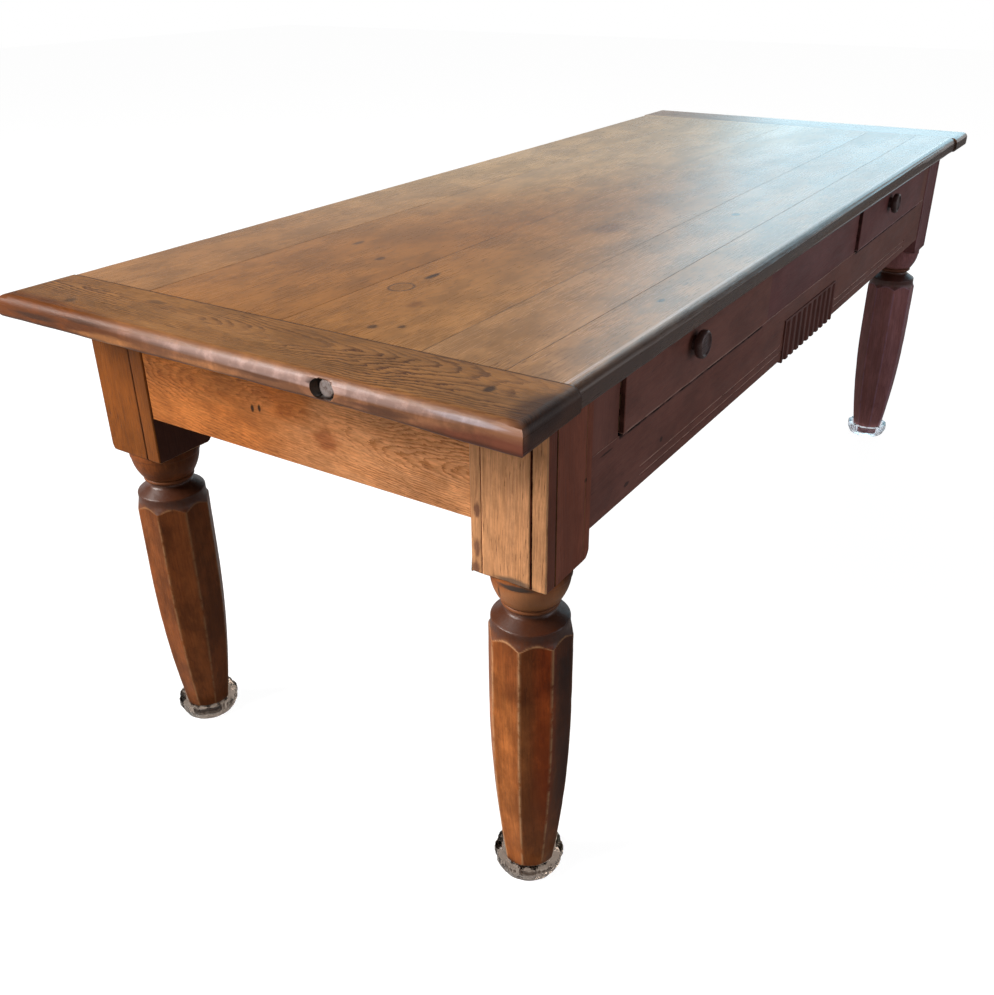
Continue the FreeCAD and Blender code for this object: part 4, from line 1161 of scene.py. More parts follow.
@dataclass
class TableTop:
    """Five planks, a breadboard end at each end and the bolts that hold them."""

    groups: Groups
    thickness: float = 0.033
    joint_rounding: float = 0.0007
    slice_step: float = 0.022
    dent: float = 0.0012
    dent_scale: float = 28.0
    rim: tuple[float, float] = (0.014, 0.018)
    rim_fade: float = 0.014
    calm: float = 0.05
    rubbed: float = 0.8
    joint_dirt: float = 0.75
    bright_end: float = 0.15
    bright_fade: float = 0.3
    droop: float = 0.0042
    droop_start: tuple[float, float] = (-0.962, -0.20)
    droop_reach: Point = (0.08, 0.15, 0.016)
    # The bolt slot's wall and floor take a nearly black copy of the wood: painted shade in the hole.
    slot_shade_tone: Colour = (0.045, 0.036, 0.03)
    pith_offset: float = 0.03
    plank_turn: float = 0.5
    end_pith: Point = (0.985, -0.25, TOP_LEVEL - 0.05)

    def exposed(self, place: Vector) -> float:
        """How exposed a place is to knocks: the outer edge of the top, less at its corners.

        Args:
            place: a place on a board.

        Returns:
            A share from 0 to 1.
        """
        if place.z < TOP_LEVEL - self.thickness:
            return 0.0
        inside = [limit - abs(at) for limit, at in zip(CAD_BOX[1], place.xy)]
        out = max(max(0.0, rim - gap) / self.rim_fade for rim, gap in zip(self.rim, inside))
        corner = Vector(inside).length / self.calm
        return min(1.0, out, corner * corner)

    def sag(self, bm: bmesh.types.BMesh, level: float) -> None:
        """Lets the near front corner droop.

        Args:
            bm: the board, changed in place.
            level: the height under which the board droops.
        """
        for vert in bm.verts:
            out = ramp(self.droop_start[0] - vert.co.x, self.droop_reach[0])
            along = ramp(self.droop_start[1] - vert.co.y, self.droop_reach[1])
            under = ramp(level - vert.co.z, self.droop_reach[2])
            vert.co.z -= self.droop * along * out * under

    def board(self, node: str, axis: int) -> bpy.types.Mesh:
        """Softens one board of the top and dents its outer edges.

        Args:
            node: the CAD node.
            axis: the axis along its length.

        Returns:
            The board's mesh.
        """
        bm = merged_node(node)
        soften(bm, self.joint_rounding)
        bolt = box_middle("breadboard_bolt_" + ("right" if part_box(node)[0].x > 0.0 else "left"))
        slot = BoltSlot(bolt.y, bolt.z, CAD_BOX[1][0], axis == 1)
        slot.widen(bm)
        slice_along(bm, axis, self.slice_step)

        def share(place: Vector, edge: float = 1.0) -> float:
            """How exposed a place of this board is."""
            return 0.0 if slot.holds(place) else self.exposed(place)

        wander(bm, self.dent, self.dent_scale, share)
        self.sag(bm, slot.z)
        darkening_layer = float_layer(bm, GRIME_AND_SHADE_LAYER)
        edge_layer = float_layer(bm, EDGE_LAYER)
        for vert in bm.verts:
            knocks = share(vert.co)
            fade = ramp(self.bright_end - vert.co.x, self.bright_fade)
            joint = knocks == 0.0 and not slot.holds(vert.co)
            vert[darkening_layer] = self.joint_dirt * vert[edge_layer] * fade if joint else 0.0
            vert[edge_layer] = self.rubbed * knocks
        bm.normal_update()
        for face in bm.faces:
            face.material_index = int(slot.lined(face))
        return to_mesh(bm, node + "_worn")

    def build(self) -> None:
        """Builds and dresses the planks, the breadboard ends and the bolts."""
        for i, plank in enumerate(PLANKS):
            node, way = f"top_plank_{i + 1}", (-1) ** i
            low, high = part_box(node)
            pith = (0.0, (low.y + high.y) / 2 + self.pith_offset * way, TOP_LEVEL - plank.pith_depth)
            lay = Lay(Grain.LENGTH, pith, plank.lean, self.plank_turn * way, plank.along)
            material = TOP_FINISH.material(self.groups, node + "_wood", lay, (*plank.marks, JOINT_LINE))
            place_piece(node + "_worn", self.board(node, 0), material, Body.TABLE, node)
        x, y, z = self.end_pith
        waxed = replace(
            BREADBOARD_FINISH, gloss=TOP_FINISH.gloss, specular=TOP_FINISH.specular, relief=TOP_FINISH.relief
        )
        for (side, sign), finish, marks in zip(SIDES, (BREADBOARD_FINISH, waxed), (NEAR_END_MARKS, ())):
            node = "breadboard_" + side
            lay = Lay(Grain.WIDTH, (sign * x, y, z), 6.0, 1.0, 2.0 + sign)
            mesh = self.board(node, 1)
            material = finish.material(self.groups, node + "_wood", lay, END_MARKS + marks)
            mesh.materials.append(material)
            mesh.materials.append(toned(finish, self.slot_shade_tone).material(self.groups, node + "_slot_shaded_wood", lay))
            place_piece(node + "_worn", mesh, material, Body.TABLE, node)
        steel = MetalFinish().material("bolt_steel_dull")
        for node in ("breadboard_bolt_left", "breadboard_bolt_right", "breadboard_nuts"):
            dress_node(node, steel)


# Legs


FACET = math.pi / 4.0
OVOLO_STEPS = 20
BEAD_STEPS = 16
SCOTIA_STEPS = 10
SLOPE_STEPS = 6
ROUND_STEPS = 8
FLARE_STEPS = 24
LEG_BROWN = (0.11, 0.042, 0.032)
SHOULDER_MARKS = (
    ((0.085, 0.085, 0.014), 0.458, (0.17, 0.060, 0.024), 0.85, 0.4),
    ((0.085, 0.085, 0.030), 0.435, (0.048, 0.015, 0.0075), 0.92, 0.15),
)
NEAR_SHAFT_MARKS = (
    # Painted light: the facets that face the key lamp are lightened.
    tint((-0.96, -0.31, 0.22), (0.05, 0.06, 0.30), (1.25, 1.28, 1.15), 1.0, 0.8),
    tint((-0.94, -0.385, 0.20), (0.03, 0.03, 0.9), (1.15, 0.72, 0.5), 1.0, 0.3),
    # Painted shade: the facet turned away from the key lamp is darkened.
    tint((-0.885, -0.397, 0.22), (0.055, 0.034, 0.9), (0.26, 0.20, 0.18), 1.0, 0.12),
    tint((-0.93, -0.35, 0.385), (0.09, 0.09, 0.07), (0.50, 0.42, 0.40), 0.8, 1.2),
    Mark((-0.93, -0.36, 0.480), (0.09, 0.09, 0.030), (0.46, 0.21, 0.095), 0.55, 0.9),
    Mark((-0.952, -0.342, 0.503), (0.025, 0.036, 0.0055), (0.045, 0.038, 0.034), 0.92, 0.9),
    Mark((-0.952, -0.315, 0.488), (0.02, 0.003, 0.014), (0.06, 0.03, 0.018), 0.8, 0.5),
)
NEAR_FLANK_MARKS = (
    Mark((-0.862, -0.384, 0.623), (0.004, 0.02, 0.004), (0.015, 0.008, 0.006), 0.9, 0.2),
    tint((-0.9405, -0.386, 0.62), (0.0125, 0.02, 0.5), (0.6, 0.55, 0.5), 1.0, 0.2),
    tint((-0.9, -0.27, 0.55), (0.12, 0.03, 0.3), (0.9, 1.1, 0.6), 1.0, 0.1),
)
NEAR_BLOCK_MARKS = (
    Mark((-0.952, -0.289, 0.597), (0.02, 0.006, 0.013), LEG_BROWN, 0.75, 0.9),
    Mark((-0.952, -0.288, 0.545), (0.02, 0.006, 0.016), LEG_BROWN, 0.7, 0.9),
    Mark((-0.952, -0.286, 0.516), (0.02, 0.007, 0.012), LEG_BROWN, 0.7, 0.9),
    Mark((-0.952, -0.340, 0.512), (0.02, 0.034, 0.008), (0.11, 0.075, 0.055), 0.85, 0.8),
    # Painted light: the block's top is lightened where the top's overhang shades it.
    tint((-0.952, -0.33, 0.745), (0.05, 0.2, 0.085), (1.3, 1.3, 1.3), 1.0, 0.1),
)


def soft_min(a: float, b: float, blend: float) -> float:
    """The smaller of two lengths, rounded over where they meet.

    Args:
        a: first length.
        b: second length.
        blend: how wide the rounding is.

    Returns:
        The blended length.
    """
    share = max(blend - abs(a - b), 0.0) / blend
    return min(a, b) - share * share * blend / 4.0


def shares(count: int, first: int = 1) -> list[float]:
    """Even shares of a whole, up to 1."""
    return [i / count for i in range(first, count + 1)]


@dataclass
class Leg:
    """One leg: a grooved square block over a turned neck and an octagonal barrel shaft."""

    groups: Groups
    end: str
    side: str
    turn: float = 0.0
    block_tone: Colour = PLAIN
    shaft_tone: Colour = PLAIN
    flank_tone: Colour = PLAIN
    inner_shade_tone: Colour = (0.37, 0.32, 0.46)
    patches: float = 0.5
    mottle: float = 0.36
    wear: float = 0.8
    half: float = 0.053
    block_bottom: float = 0.509
    foot: float = 0.010
    foot_half: float = 0.032
    straight_end: float = 0.300
    collar: float = 0.010
    collar_inset: float = 0.0015
    collar_lip: float = 0.001
    collar_ease: float = 0.0012
    ovolo: tuple[float, float] = (0.036, 0.039)
    ovolo_fullness: float = 0.0028
    bead: tuple[float, float] = (0.009, 0.0065)
    neck: tuple[float, float] = (0.0015, 0.032)
    scotia: float = 0.008
    slope: float = 33.0
    shoulder_inset: float = 0.0012
    shoulder_rounding: float = 0.003
    slope_end: float = 0.002
    drum: float = 0.0057
    flare: float = 0.0257
    margin: float = 0.0004
    bead_foot: float = 0.454
    shoulder_darkening: float = 0.6
    arch_blend: float = 0.0008
    arch_width: float = 0.0009
    arch_gap: float = 0.0003
    arris: float = 0.0016
    arris_width: float = 0.0024
    arris_scale: float = 34.0
    arris_swing: tuple[float, float] = (1.2, 1.8)
    tool_marks: float = 0.00022
    tool_scales: Point = (0.9, 14.0, 2.0)
    columns: int = 16
    shaft_rows: int = 96
    block_gap: float = 0.0002
    block_rounding: float = 0.0018
    block_step: float = 0.012
    block_dent: float = 0.0011
    dent_scale: float = 40.0
    groove: tuple[float, float] = (0.0006, 0.0045)
    faint_groove: float = 0.3
    foot_rounding: float = 0.024
    foot_inset: float = 0.016
    foot_cuts: tuple[float, ...] = (0.04, 0.12, 0.25, 0.45, 0.7, 1.0)
    back_share: float = 0.6
    bruise: tuple[float, float] = (-0.372, -0.298)
    bruise_depth: float = 0.0018
    bruise_skin: float = 0.004
    bruise_scale: float = 90.0
    bruise_fullness: float = 0.6
    bruise_swing: tuple[float, float] = (0.65, 0.5)
    bruise_cuts: int = 12

    @property
    def node(self) -> str:
        """The CAD node of this leg."""
        return f"leg_{self.end}_{self.side}"

    @property
    def nearest(self) -> bool:
        """Whether this is the leg closest to the camera."""
        return (self.end, self.side) == ("front", "left")

    def half_width(self, z: float) -> float:
        """The octagon's half width, straight first and then a barrel taper.

        Args:
            z: the height.

        Returns:
            The half width there.
        """
        if z >= self.straight_end:
            return self.half
        drop = self.straight_end - self.foot
        sag = self.half - self.foot_half
        radius = (drop * drop + sag * sag) / (2.0 * sag)
        return self.half - (radius - math.sqrt(radius * radius - (self.straight_end - z) ** 2))

    def cup_profile(self) -> list[tuple[float, float]]:
        """The outline of the collar, cup, bead and neck.

        Returns:
            Radius and height of each point, from inside the block down.
        """
        inside, rim = self.half - self.collar_inset, self.half - self.collar_ease
        z = self.block_bottom - self.collar
        points = [
            (inside, self.block_bottom + self.foot_rounding), (inside, self.block_bottom),
            (self.half, self.block_bottom - self.collar_lip), (self.half, z + self.collar_ease), (rim, z),
        ]
        height, low_radius = self.ovolo
        for t in shares(OVOLO_STEPS):
            bulge = self.ovolo_fullness * 4.0 * t * (1.0 - t)
            points.append((rim + (low_radius - rim) * t + bulge, z - height * t))
        z -= height
        bead_height, reach = self.bead
        neck_height, neck_radius = self.neck
        for t in shares(BEAD_STEPS)[:-1]:
            angle = math.pi * t
            points.append((neck_radius + reach * math.sin(angle), z - bead_height * (1.0 - math.cos(angle)) / 2.0))
        return points + [(neck_radius, z - bead_height - neck_height)]

    def turned_profile(self) -> list[tuple[float, float]]:
        """The whole turned part's outline.

        Returns:
            Radius and height of each point, down to the shoulder's flare.
        """
        points = self.cup_profile()
        neck_radius, z = points[-1]
        slope = math.radians(self.slope)
        turn = math.pi / 2.0 - slope
        for t in shares(SCOTIA_STEPS):
            angle = turn * t
            points.append((neck_radius + self.scotia * (1.0 - math.cos(angle)), z - self.scotia * math.sin(angle)))
        inner_radius, inner_z = points[-1]
        radius = self.half - self.shoulder_inset
        run = radius - self.slope_end - inner_radius
        points += [(inner_radius + run * t, inner_z - run * math.tan(slope) * t) for t in shares(SLOPE_STEPS)[:-1]]
        rounding = self.shoulder_rounding
        drum_top = inner_z - (radius - inner_radius) * math.tan(slope) - rounding * math.tan(turn / 2.0)
        for t in shares(ROUND_STEPS, 0):
            angle = turn * (1.0 - t)
            points.append((radius + rounding * (math.cos(angle) - 1.0), drum_top + rounding * math.sin(angle)))
        reach = self.half / math.cos(FACET / 2.0) + self.margin
        end = math.acos(1.0 - (reach - radius) / self.flare)
        flare_top = drum_top - self.drum
        for t in shares(FLARE_STEPS, 0):
            angle = end * t
            points.append((radius + self.flare * (1.0 - math.cos(angle)), flare_top - self.flare * math.sin(angle)))
        return points

    def rings(self) -> list[tuple[float, float]]:
        """The rings of the turned part and the shaft.

        Returns:
            Limiting radius and height of each ring, from the top down.
        """
        outline = self.turned_profile()
        start = outline[-1][1]
        return outline + [(self.half * 2.0, start + (self.foot - start) * t) for t in shares(self.shaft_rows)]

    def angles(self) -> list[float]:
        """The columns' angles round the axis.

        Returns:
            The angles, close together at the octagon's arrises.
        """
        result = []
        for facet in range(8):
            for i in range(self.columns):
                t = -1.0 + 2.0 * i / self.columns
                result.append(math.radians(self.turn) + FACET * facet + FACET / 2.0 * math.sin(math.pi / 2.0 * t))
        return result

    def skin_point(self, axis: Vector, limit: float, z: float, angle: float) -> tuple[Vector, float, float]:
        """One point of the turned neck or the octagonal shaft.

        Args:
            axis: a point on the leg's axis at the floor.
            limit: the turned outline's radius.
            z: the height.
            angle: the direction from the axis.

        Returns:
            The point, its edge value and its hollow value.
        """
        half = self.half_width(z)
        local = (angle - math.radians(self.turn) + FACET / 2.0) % FACET - FACET / 2.0
        out, level = Vector((math.cos(angle), math.sin(angle), 0.0)), Vector((0.0, 0.0, z))
        shake = noise.noise((axis + out * half + level) * self.arris_scale)
        beside = half / math.cos(FACET - abs(local))
        least, more = self.arris_swing
        facet = soft_min(half / math.cos(local), beside, self.arris * (least + more * max(0.0, shake)))
        below = z < self.bead_foot
        radius = soft_min(limit, facet, self.arch_blend) if below else limit
        across, down, both = self.tool_scales
        radius -= self.tool_marks * (1.0 + noise.noise((out * across + Vector((0.0, 0.0, z * down))) * both))
        edge, hollow = 0.0, 0.0
        if limit > facet:
            edge = max(0.0, 1.0 - (FACET / 2.0 - abs(local)) * half / self.arris_width)
        if below:
            edge = max(edge, 1.0 - abs(limit - facet) / self.arch_width)
            # The turned part below the bead is darkened through the hollow layer.
            hollow = self.shoulder_darkening if limit < facet - self.arch_gap else 0.0
        return axis + out * radius + level, edge, hollow

    def shaft(self, bm: bmesh.types.BMesh, axis: Vector) -> None:
        """Adds the turned neck and the octagonal shaft.

        Args:
            bm: the mesh, added to.
            axis: a point on the leg's axis at the floor.
        """
        edge_layer, hollow_layer = float_layer(bm, EDGE_LAYER), float_layer(bm, GRIME_AND_SHADE_LAYER)
        angles = self.angles()
        skin = [[self.skin_point(axis, limit, z, angle) for angle in angles] for limit, z in self.rings()]
        rows = ring_mesh(bm, [[point for point, _, _ in ring] for ring in skin])
        for row, ring in zip(rows, skin):
            for vert, (_, edge, hollow) in zip(row, ring):
                vert[edge_layer] = edge
                vert[hollow_layer] = hollow

    def block(self) -> bmesh.types.BMesh:
        """Cuts the square block from the CAD leg and softens it.

        Returns:
            The block.
        """
        bm = merged_node(self.node)
        level = (0.0, 0.0, self.block_bottom + self.block_gap)
        cut = bmesh.ops.bisect_plane(
            bm, geom=whole(bm), dist=CUT, plane_co=level, plane_no=(0.0, 0.0, 1.0), clear_inner=True
        )
        rim = [item for item in cut["geom_cut"] if isinstance(item, bmesh.types.BMEdge)]
        bmesh.ops.contextual_create(bm, geom=rim)
        for name in (EDGE_LAYER, GRIME_AND_SHADE_LAYER):
            float_layer(bm, name)
        soften(bm, self.block_rounding)
        slice_along(bm, 2, self.block_step)
        wander(bm, self.block_dent, self.dent_scale)
        self.stamp_grooves(bm)
        self.wear_foot(bm)
        return bm

    def wear_foot(self, bm: bmesh.types.BMesh) -> None:
        """Rounds the block's inner bottom edge, and bruises the near leg's end face over its bottom edge.

        Args:
            bm: the block, changed in place.
        """
        low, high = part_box(self.node)
        inner, inward = (low.x, 1.0) if low.x > 0.0 else (high.x, -1.0)
        reach = self.foot_rounding
        slice_at(bm, 2, [self.block_bottom + reach * share for share in self.foot_cuts])
        start, length = self.bruise[0], self.bruise[1] - self.bruise[0]
        if self.nearest:
            slice_at(bm, 1, [start + length * t for t in shares(self.bruise_cuts, 0)])
        for vert in bm.verts:
            rise = vert.co.z - self.block_bottom
            if rise > reach:
                continue
            room = self.foot_inset * (1.0 - math.sqrt(max(0.0, 1.0 - (1.0 - rise / reach) ** 2)))
            short = room - (vert.co.x - inner) * inward
            if short > 0.0:
                vert.co.x += short * inward
            if self.end == "back":
                vert.co.y = min(vert.co.y, high.y - room * self.back_share)
            along = (vert.co.y - start) / length
            if self.nearest and 0.0 < along < 1.0 and vert.co.x < low.x + self.bruise_skin:
                even, uneven = self.bruise_swing
                bite = even + uneven * noise.noise(vert.co * self.bruise_scale)
                bite *= math.sin(math.pi * along) ** self.bruise_fullness
                vert.co.x += self.bruise_depth * max(0.0, bite) * (1.0 - rise / reach) ** 2

    def stamp_grooves(self, bm: bmesh.types.BMesh) -> None:
        """Stamps the block's grooves and seams in the hollow layer: grime and painted shade in the recesses.

        Args:
            bm: the block, changed in place.
        """
        low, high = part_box(self.node)
        edge, hollow = float_layer(bm, EDGE_LAYER), float_layer(bm, GRIME_AND_SHADE_LAYER)
        for vert in bm.verts:
            depth = min(vert.co.x - low.x, high.x - vert.co.x, vert.co.y - low.y, high.y - vert.co.y)
            faint = self.nearest and vert.co.y > low.y + self.half
            if self.groove[0] < depth < self.groove[1] and not vert[edge]:
                vert[hollow] = self.faint_groove if faint else 1.0

    def build(self) -> None:
        """Builds and dresses the leg as one piece with three woods."""
        axis = box_middle(self.node)
        axis.z = 0.0
        bm = self.block()
        block_faces = set(bm.faces)
        bm.normal_update()
        outward = math.copysign(1.0, axis.x)
        for face in bm.faces:
            # Faces not turned to the table's end take the flank wood, which has painted shade.
            face.material_index = 0 if face.normal.x * outward > 0.5 else 2
        self.shaft(bm, axis)
        shaft_faces = [face for face in bm.faces if face not in block_faces]
        for face in shaft_faces:
            face.material_index = 1
        bmesh.ops.recalc_face_normals(bm, faces=shaft_faces)
        mesh = to_mesh(bm, self.node + "_worn")
        self.dress(mesh, axis)
        place_piece(self.node + "_worn", mesh, mesh.materials[0], Body.TABLE, self.node)

    def dress(self, mesh: bpy.types.Mesh, axis: Vector) -> None:
        """Gives the leg its block and shaft woods, and the flank wood with painted shade for the block's side faces.

        Args:
            mesh: the leg's mesh.
            axis: a point on the leg's axis at the floor.
        """
        seed = axis.x * 3.1 + axis.y * 7.7
        upright = Lay(Grain.UPRIGHT, (axis.x + 0.11, axis.y + 0.07, 0.6), 1.4, 0.8, seed)
        turned = Lay(Grain.UPRIGHT, (axis.x + 0.03, axis.y + 0.06, 0.2), 2.2, -1.2, seed + 2.0)
        shaft = replace(
            toned(SHAFT_FINISH, self.shaft_tone), wear=self.wear, patches=self.patches, mottle=self.mottle
        )
        shoulder = tuple(
            Mark((axis.x, axis.y, z), reach, colour, strength, rough)
            for reach, z, colour, strength, rough in SHOULDER_MARKS
        )
        near_shaft, near_block = (NEAR_SHAFT_MARKS, NEAR_BLOCK_MARKS) if self.nearest else ((), ())
        for part, finish, lay, marks in (
            ("block", toned(BLOCK_FINISH, self.block_tone), upright, near_block),
            ("shaft", shaft, turned, near_shaft + shoulder),
            ("flank", toned(FRONT_SHADED_FINISH, self.flank_tone), upright, self.flank_marks()),
        ):
            mesh.materials.append(finish.material(self.groups, f"{self.node}_{part}_wood", lay, marks))

    def flank_marks(self) -> tuple[Mark, ...]:
        """The marks on the block's other faces.

        Returns:
            The back legs' inner faces, darkened with painted shade, or the near front leg's nail hole, dark corner
            strip and inner face.
        """
        if self.end == "back":
            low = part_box(self.node)[0]
            # Painted shade on the back leg's inner face.
            return (tint((low.x + self.half, low.y - 0.009, 0.55), (0.12, 0.03, 0.3), self.inner_shade_tone, 1.0, 0.1),)
        return NEAR_FLANK_MARKS if self.nearest else ()


# Glass cups


CUP_INPUTS = (
    ("Rim Radius", Kind.FLOAT, 0.05), ("Height", Kind.FLOAT, 0.028), ("Lobe Depth", Kind.FLOAT, 0.0022),
    ("Rib Depth", Kind.FLOAT, 0.0005), ("Foot X", Kind.FLOAT, 0.0), ("Foot Y", Kind.FLOAT, 0.0),
    ("Lobes", Kind.COUNT, 12), ("Columns", Kind.COUNT, 216), ("Rows", Kind.COUNT, 61), ("Glass", Kind.MATERIAL, None),
)
CUP_RADIUS_STEPS = (
    (0.0, 0.0), (0.16, 0.84), (0.19, 0.868), (0.34, 0.985), (0.37, 1.0), (0.47, 1.0), (0.50, 0.985),
    (0.53, 0.93), (0.57, 0.83), (0.60, 0.79), (0.63, 0.776), (0.76, 0.768), (0.79, 0.75), (0.82, 0.71), (1.0, 0.0),
)
CUP_HEIGHT_STEPS = (
    (0.0, 0.0), (0.16, 0.0), (0.19, 0.05), (0.34, 0.53), (0.37, 0.60), (0.47, 0.92), (0.50, 0.975),
    (0.53, 1.0), (0.57, 1.0), (0.60, 0.985), (0.63, 0.93), (0.76, 0.44), (0.79, 0.37), (0.82, 0.355), (1.0, 0.355),
)
CUP_WALL_STEPS = (
    (0.0, 0.0), (0.16, 0.15), (0.3, 0.9), (0.36, 1.0), (0.49, 1.0), (0.55, 0.4), (0.6, 0.0), (1.0, 0.0),
)


def cup_curve(tree: Tree, along: Socket, steps: Sequence[tuple[float, float]]) -> Socket:
    """A Float Curve through given steps.

    Args:
        tree: the tree to add to.
        along: the value from 0 to 1 that is mapped.
        steps: the curve's points.

    Returns:
        The mapped value.
    """
    node = tree.add("ShaderNodeFloatCurve")
    curve = node.mapping.curves[0]
    curve.points[0].location = steps[0]
    curve.points[1].location = steps[-1]
    for step in steps[1:-1]:
        curve.points.new(*step)
    for point in curve.points:
        point.handle_type = "VECTOR"
    node.mapping.use_clip = False
    node.mapping.update()
    return tree.fill(node, Value=along).outputs[0]


def cup_tree() -> bpy.types.NodeTree:
    """Builds the cup's Geometry Nodes: a profile swept round with a lobed and ribbed wall.

    Returns:
        The node tree.
    """
    tree, given, result = new_group("pressed_cup", CUP_INPUTS, [("Geometry", Kind.GEOMETRY)], "GeometryNodeTree")
    value = given.outputs
    grid = tree.step(
        "GeometryNodeMeshGrid", Size_X=1.0, Size_Y=1.0, Vertices_X=value["Columns"], Vertices_Y=value["Rows"]
    )
    split = tree.fill(tree.add("ShaderNodeSeparateXYZ"), Vector=tree.step("GeometryNodeInputPosition")).outputs
    angle = tree.times(tree.plus(split["X"], 0.5), math.tau)
    along = tree.plus(split["Y"], 0.5)
    radius, height, wall = (
        cup_curve(tree, along, steps) for steps in (CUP_RADIUS_STEPS, CUP_HEIGHT_STEPS, CUP_WALL_STEPS)
    )
    turns = tree.times(angle, value["Lobes"])
    swing = tree.math("ABSOLUTE", tree.math("COSINE", tree.times(turns, 0.5)))
    notch = tree.times(tree.math("SUBTRACT", tree.math("POWER", swing, 0.6), 1.0), value["Lobe Depth"])
    notch = tree.plus(notch, tree.times(tree.math("SINE", tree.times(turns, 4.0)), value["Rib Depth"]))
    reach = tree.larger(tree.plus(tree.times(radius, value["Rim Radius"]), tree.times(notch, wall)), 0.0)
    place = tree.step(
        "ShaderNodeCombineXYZ", Z=tree.times(height, value["Height"]),
        X=tree.plus(tree.times(reach, tree.math("COSINE", angle)), value["Foot X"]),
        Y=tree.plus(tree.times(reach, tree.math("SINE", angle)), value["Foot Y"]),
    )
    moved = tree.step("GeometryNodeSetPosition", Geometry=grid, Position=place)
    welded = tree.step("GeometryNodeMergeByDistance", Geometry=moved, Distance=WELD)
    real = tree.step("GeometryNodeRealizeInstances", Geometry=welded)
    tree.fill(result, Geometry=tree.step("GeometryNodeSetMaterial", Geometry=real, Material=value["Glass"]))
    return tree.tree


def grown(
    name: str, tree: bpy.types.NodeTree, values: dict[str, object], start: bpy.types.Mesh | None = None
) -> bpy.types.Mesh:
    """Runs a Geometry Nodes tree and keeps its result as a plain mesh.

    Args:
        name: the mesh's name.
        tree: the Geometry Nodes tree.
        values: its inputs by name.
        start: the mesh that the tree works on, where it needs one.

    Returns:
        The plain mesh.
    """
    maker = linked(name + "_maker", start or bpy.data.meshes.new(name + "_seed"))
    modifier = maker.modifiers.new("rule", "NODES")
    modifier.node_group = tree
    sockets = {item.name: item.identifier for item in tree.interface.items_tree if item.in_out == "INPUT"}
    for label, value in values.items():
        modifier[sockets[label]] = value
    mesh = evaluated(maker)
    mesh.name = name
    bm = bmesh.new()
    bm.from_mesh(mesh)
    bmesh.ops.recalc_face_normals(bm, faces=bm.faces)
    return finish_mesh(filled_mesh(bm, mesh))


@dataclass
class GlassCups:
    """The four pressed-glass caster cups under the feet."""

    lobe_depth: float = 0.0034
    rib_depth: float = 0.0004
    lobes: int = 12
    # The far end's cups take a paler, bluer copy of the glass, with less painted dark reflection.
    far_clear: Colour = (0.74, 0.78, 0.84)
    far_dusty: Colour = (0.58, 0.60, 0.64)

    def build(self) -> None:
        """Builds and dresses each cup."""
        tree = cup_tree()
        near = GlassFinish().material("pressed_glass")
        far = GlassFinish(self.far_clear, self.far_dusty).material("far_glass")
        for end in ("front", "back"):
            for (side, _), glass in zip(SIDES, (near, far)):
                node = f"glass_cup_{end}_{side}"
                low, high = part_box(node)
                middle = box_middle(node)
                mesh = grown(node + "_pressed", tree, {
                    "Rim Radius": (high.x - low.x) / 2, "Height": high.z - low.z, "Lobe Depth": self.lobe_depth,
                    "Rib Depth": self.rib_depth, "Lobes": self.lobes, "Glass": glass,
                    "Foot X": middle.x, "Foot Y": middle.y,
                })
                place_piece(node + "_pressed", mesh, glass, Body.TABLE, node)


# Aprons


HOLE = (0.02, 0.01, 0.006)
SCRATCH = (0.02, 0.01, 0.007)
NEAR_APRON_MARKS = (
    Mark((-0.950, 0.070, 0.646), (0.01, 0.0042, 0.007), HOLE, 0.95, 0.3),
    Mark((-0.950, 0.057, 0.649), (0.01, 0.0036, 0.007), HOLE, 0.95, 0.3),
    Mark((-0.950, -0.06, 0.70), (0.01, 0.03, 0.012), (0.20, 0.07, 0.025), 0.5, 0.9),
    tint((-0.950, 0.30, 0.66), (0.2, 0.42, 0.4), (0.88, 0.66, 0.38), 1.0, 0.5),
    tint((-0.950, 0.01, 0.69), (0.2, 0.07, 0.06), (0.80, 0.62, 0.36), 0.9, 0.9),
    tint((-0.950, -0.055, 0.63), (0.2, 0.03, 0.02), (0.55, 0.42, 0.36), 0.9, 1.1),
    # Painted light: the apron's top is lightened where the top's overhang shades it.
    tint((-0.950, 0.0, 0.745), (0.2, ENDLESS, 0.085), (1.3, 1.3, 1.3), 1.0, 0.1),
)
RAIL_MARKS = (
    Mark((-0.805, -0.384, 0.636), (0.022, 0.02, 0.0018), SCRATCH, 0.8, 0.8),
    Mark((-0.744, -0.384, 0.566), (0.010, 0.02, 0.004), SCRATCH, 0.7, 0.9),
    Mark((-0.641, -0.384, 0.590), (0.006, 0.02, 0.005), SCRATCH, 0.7, 0.9),
)


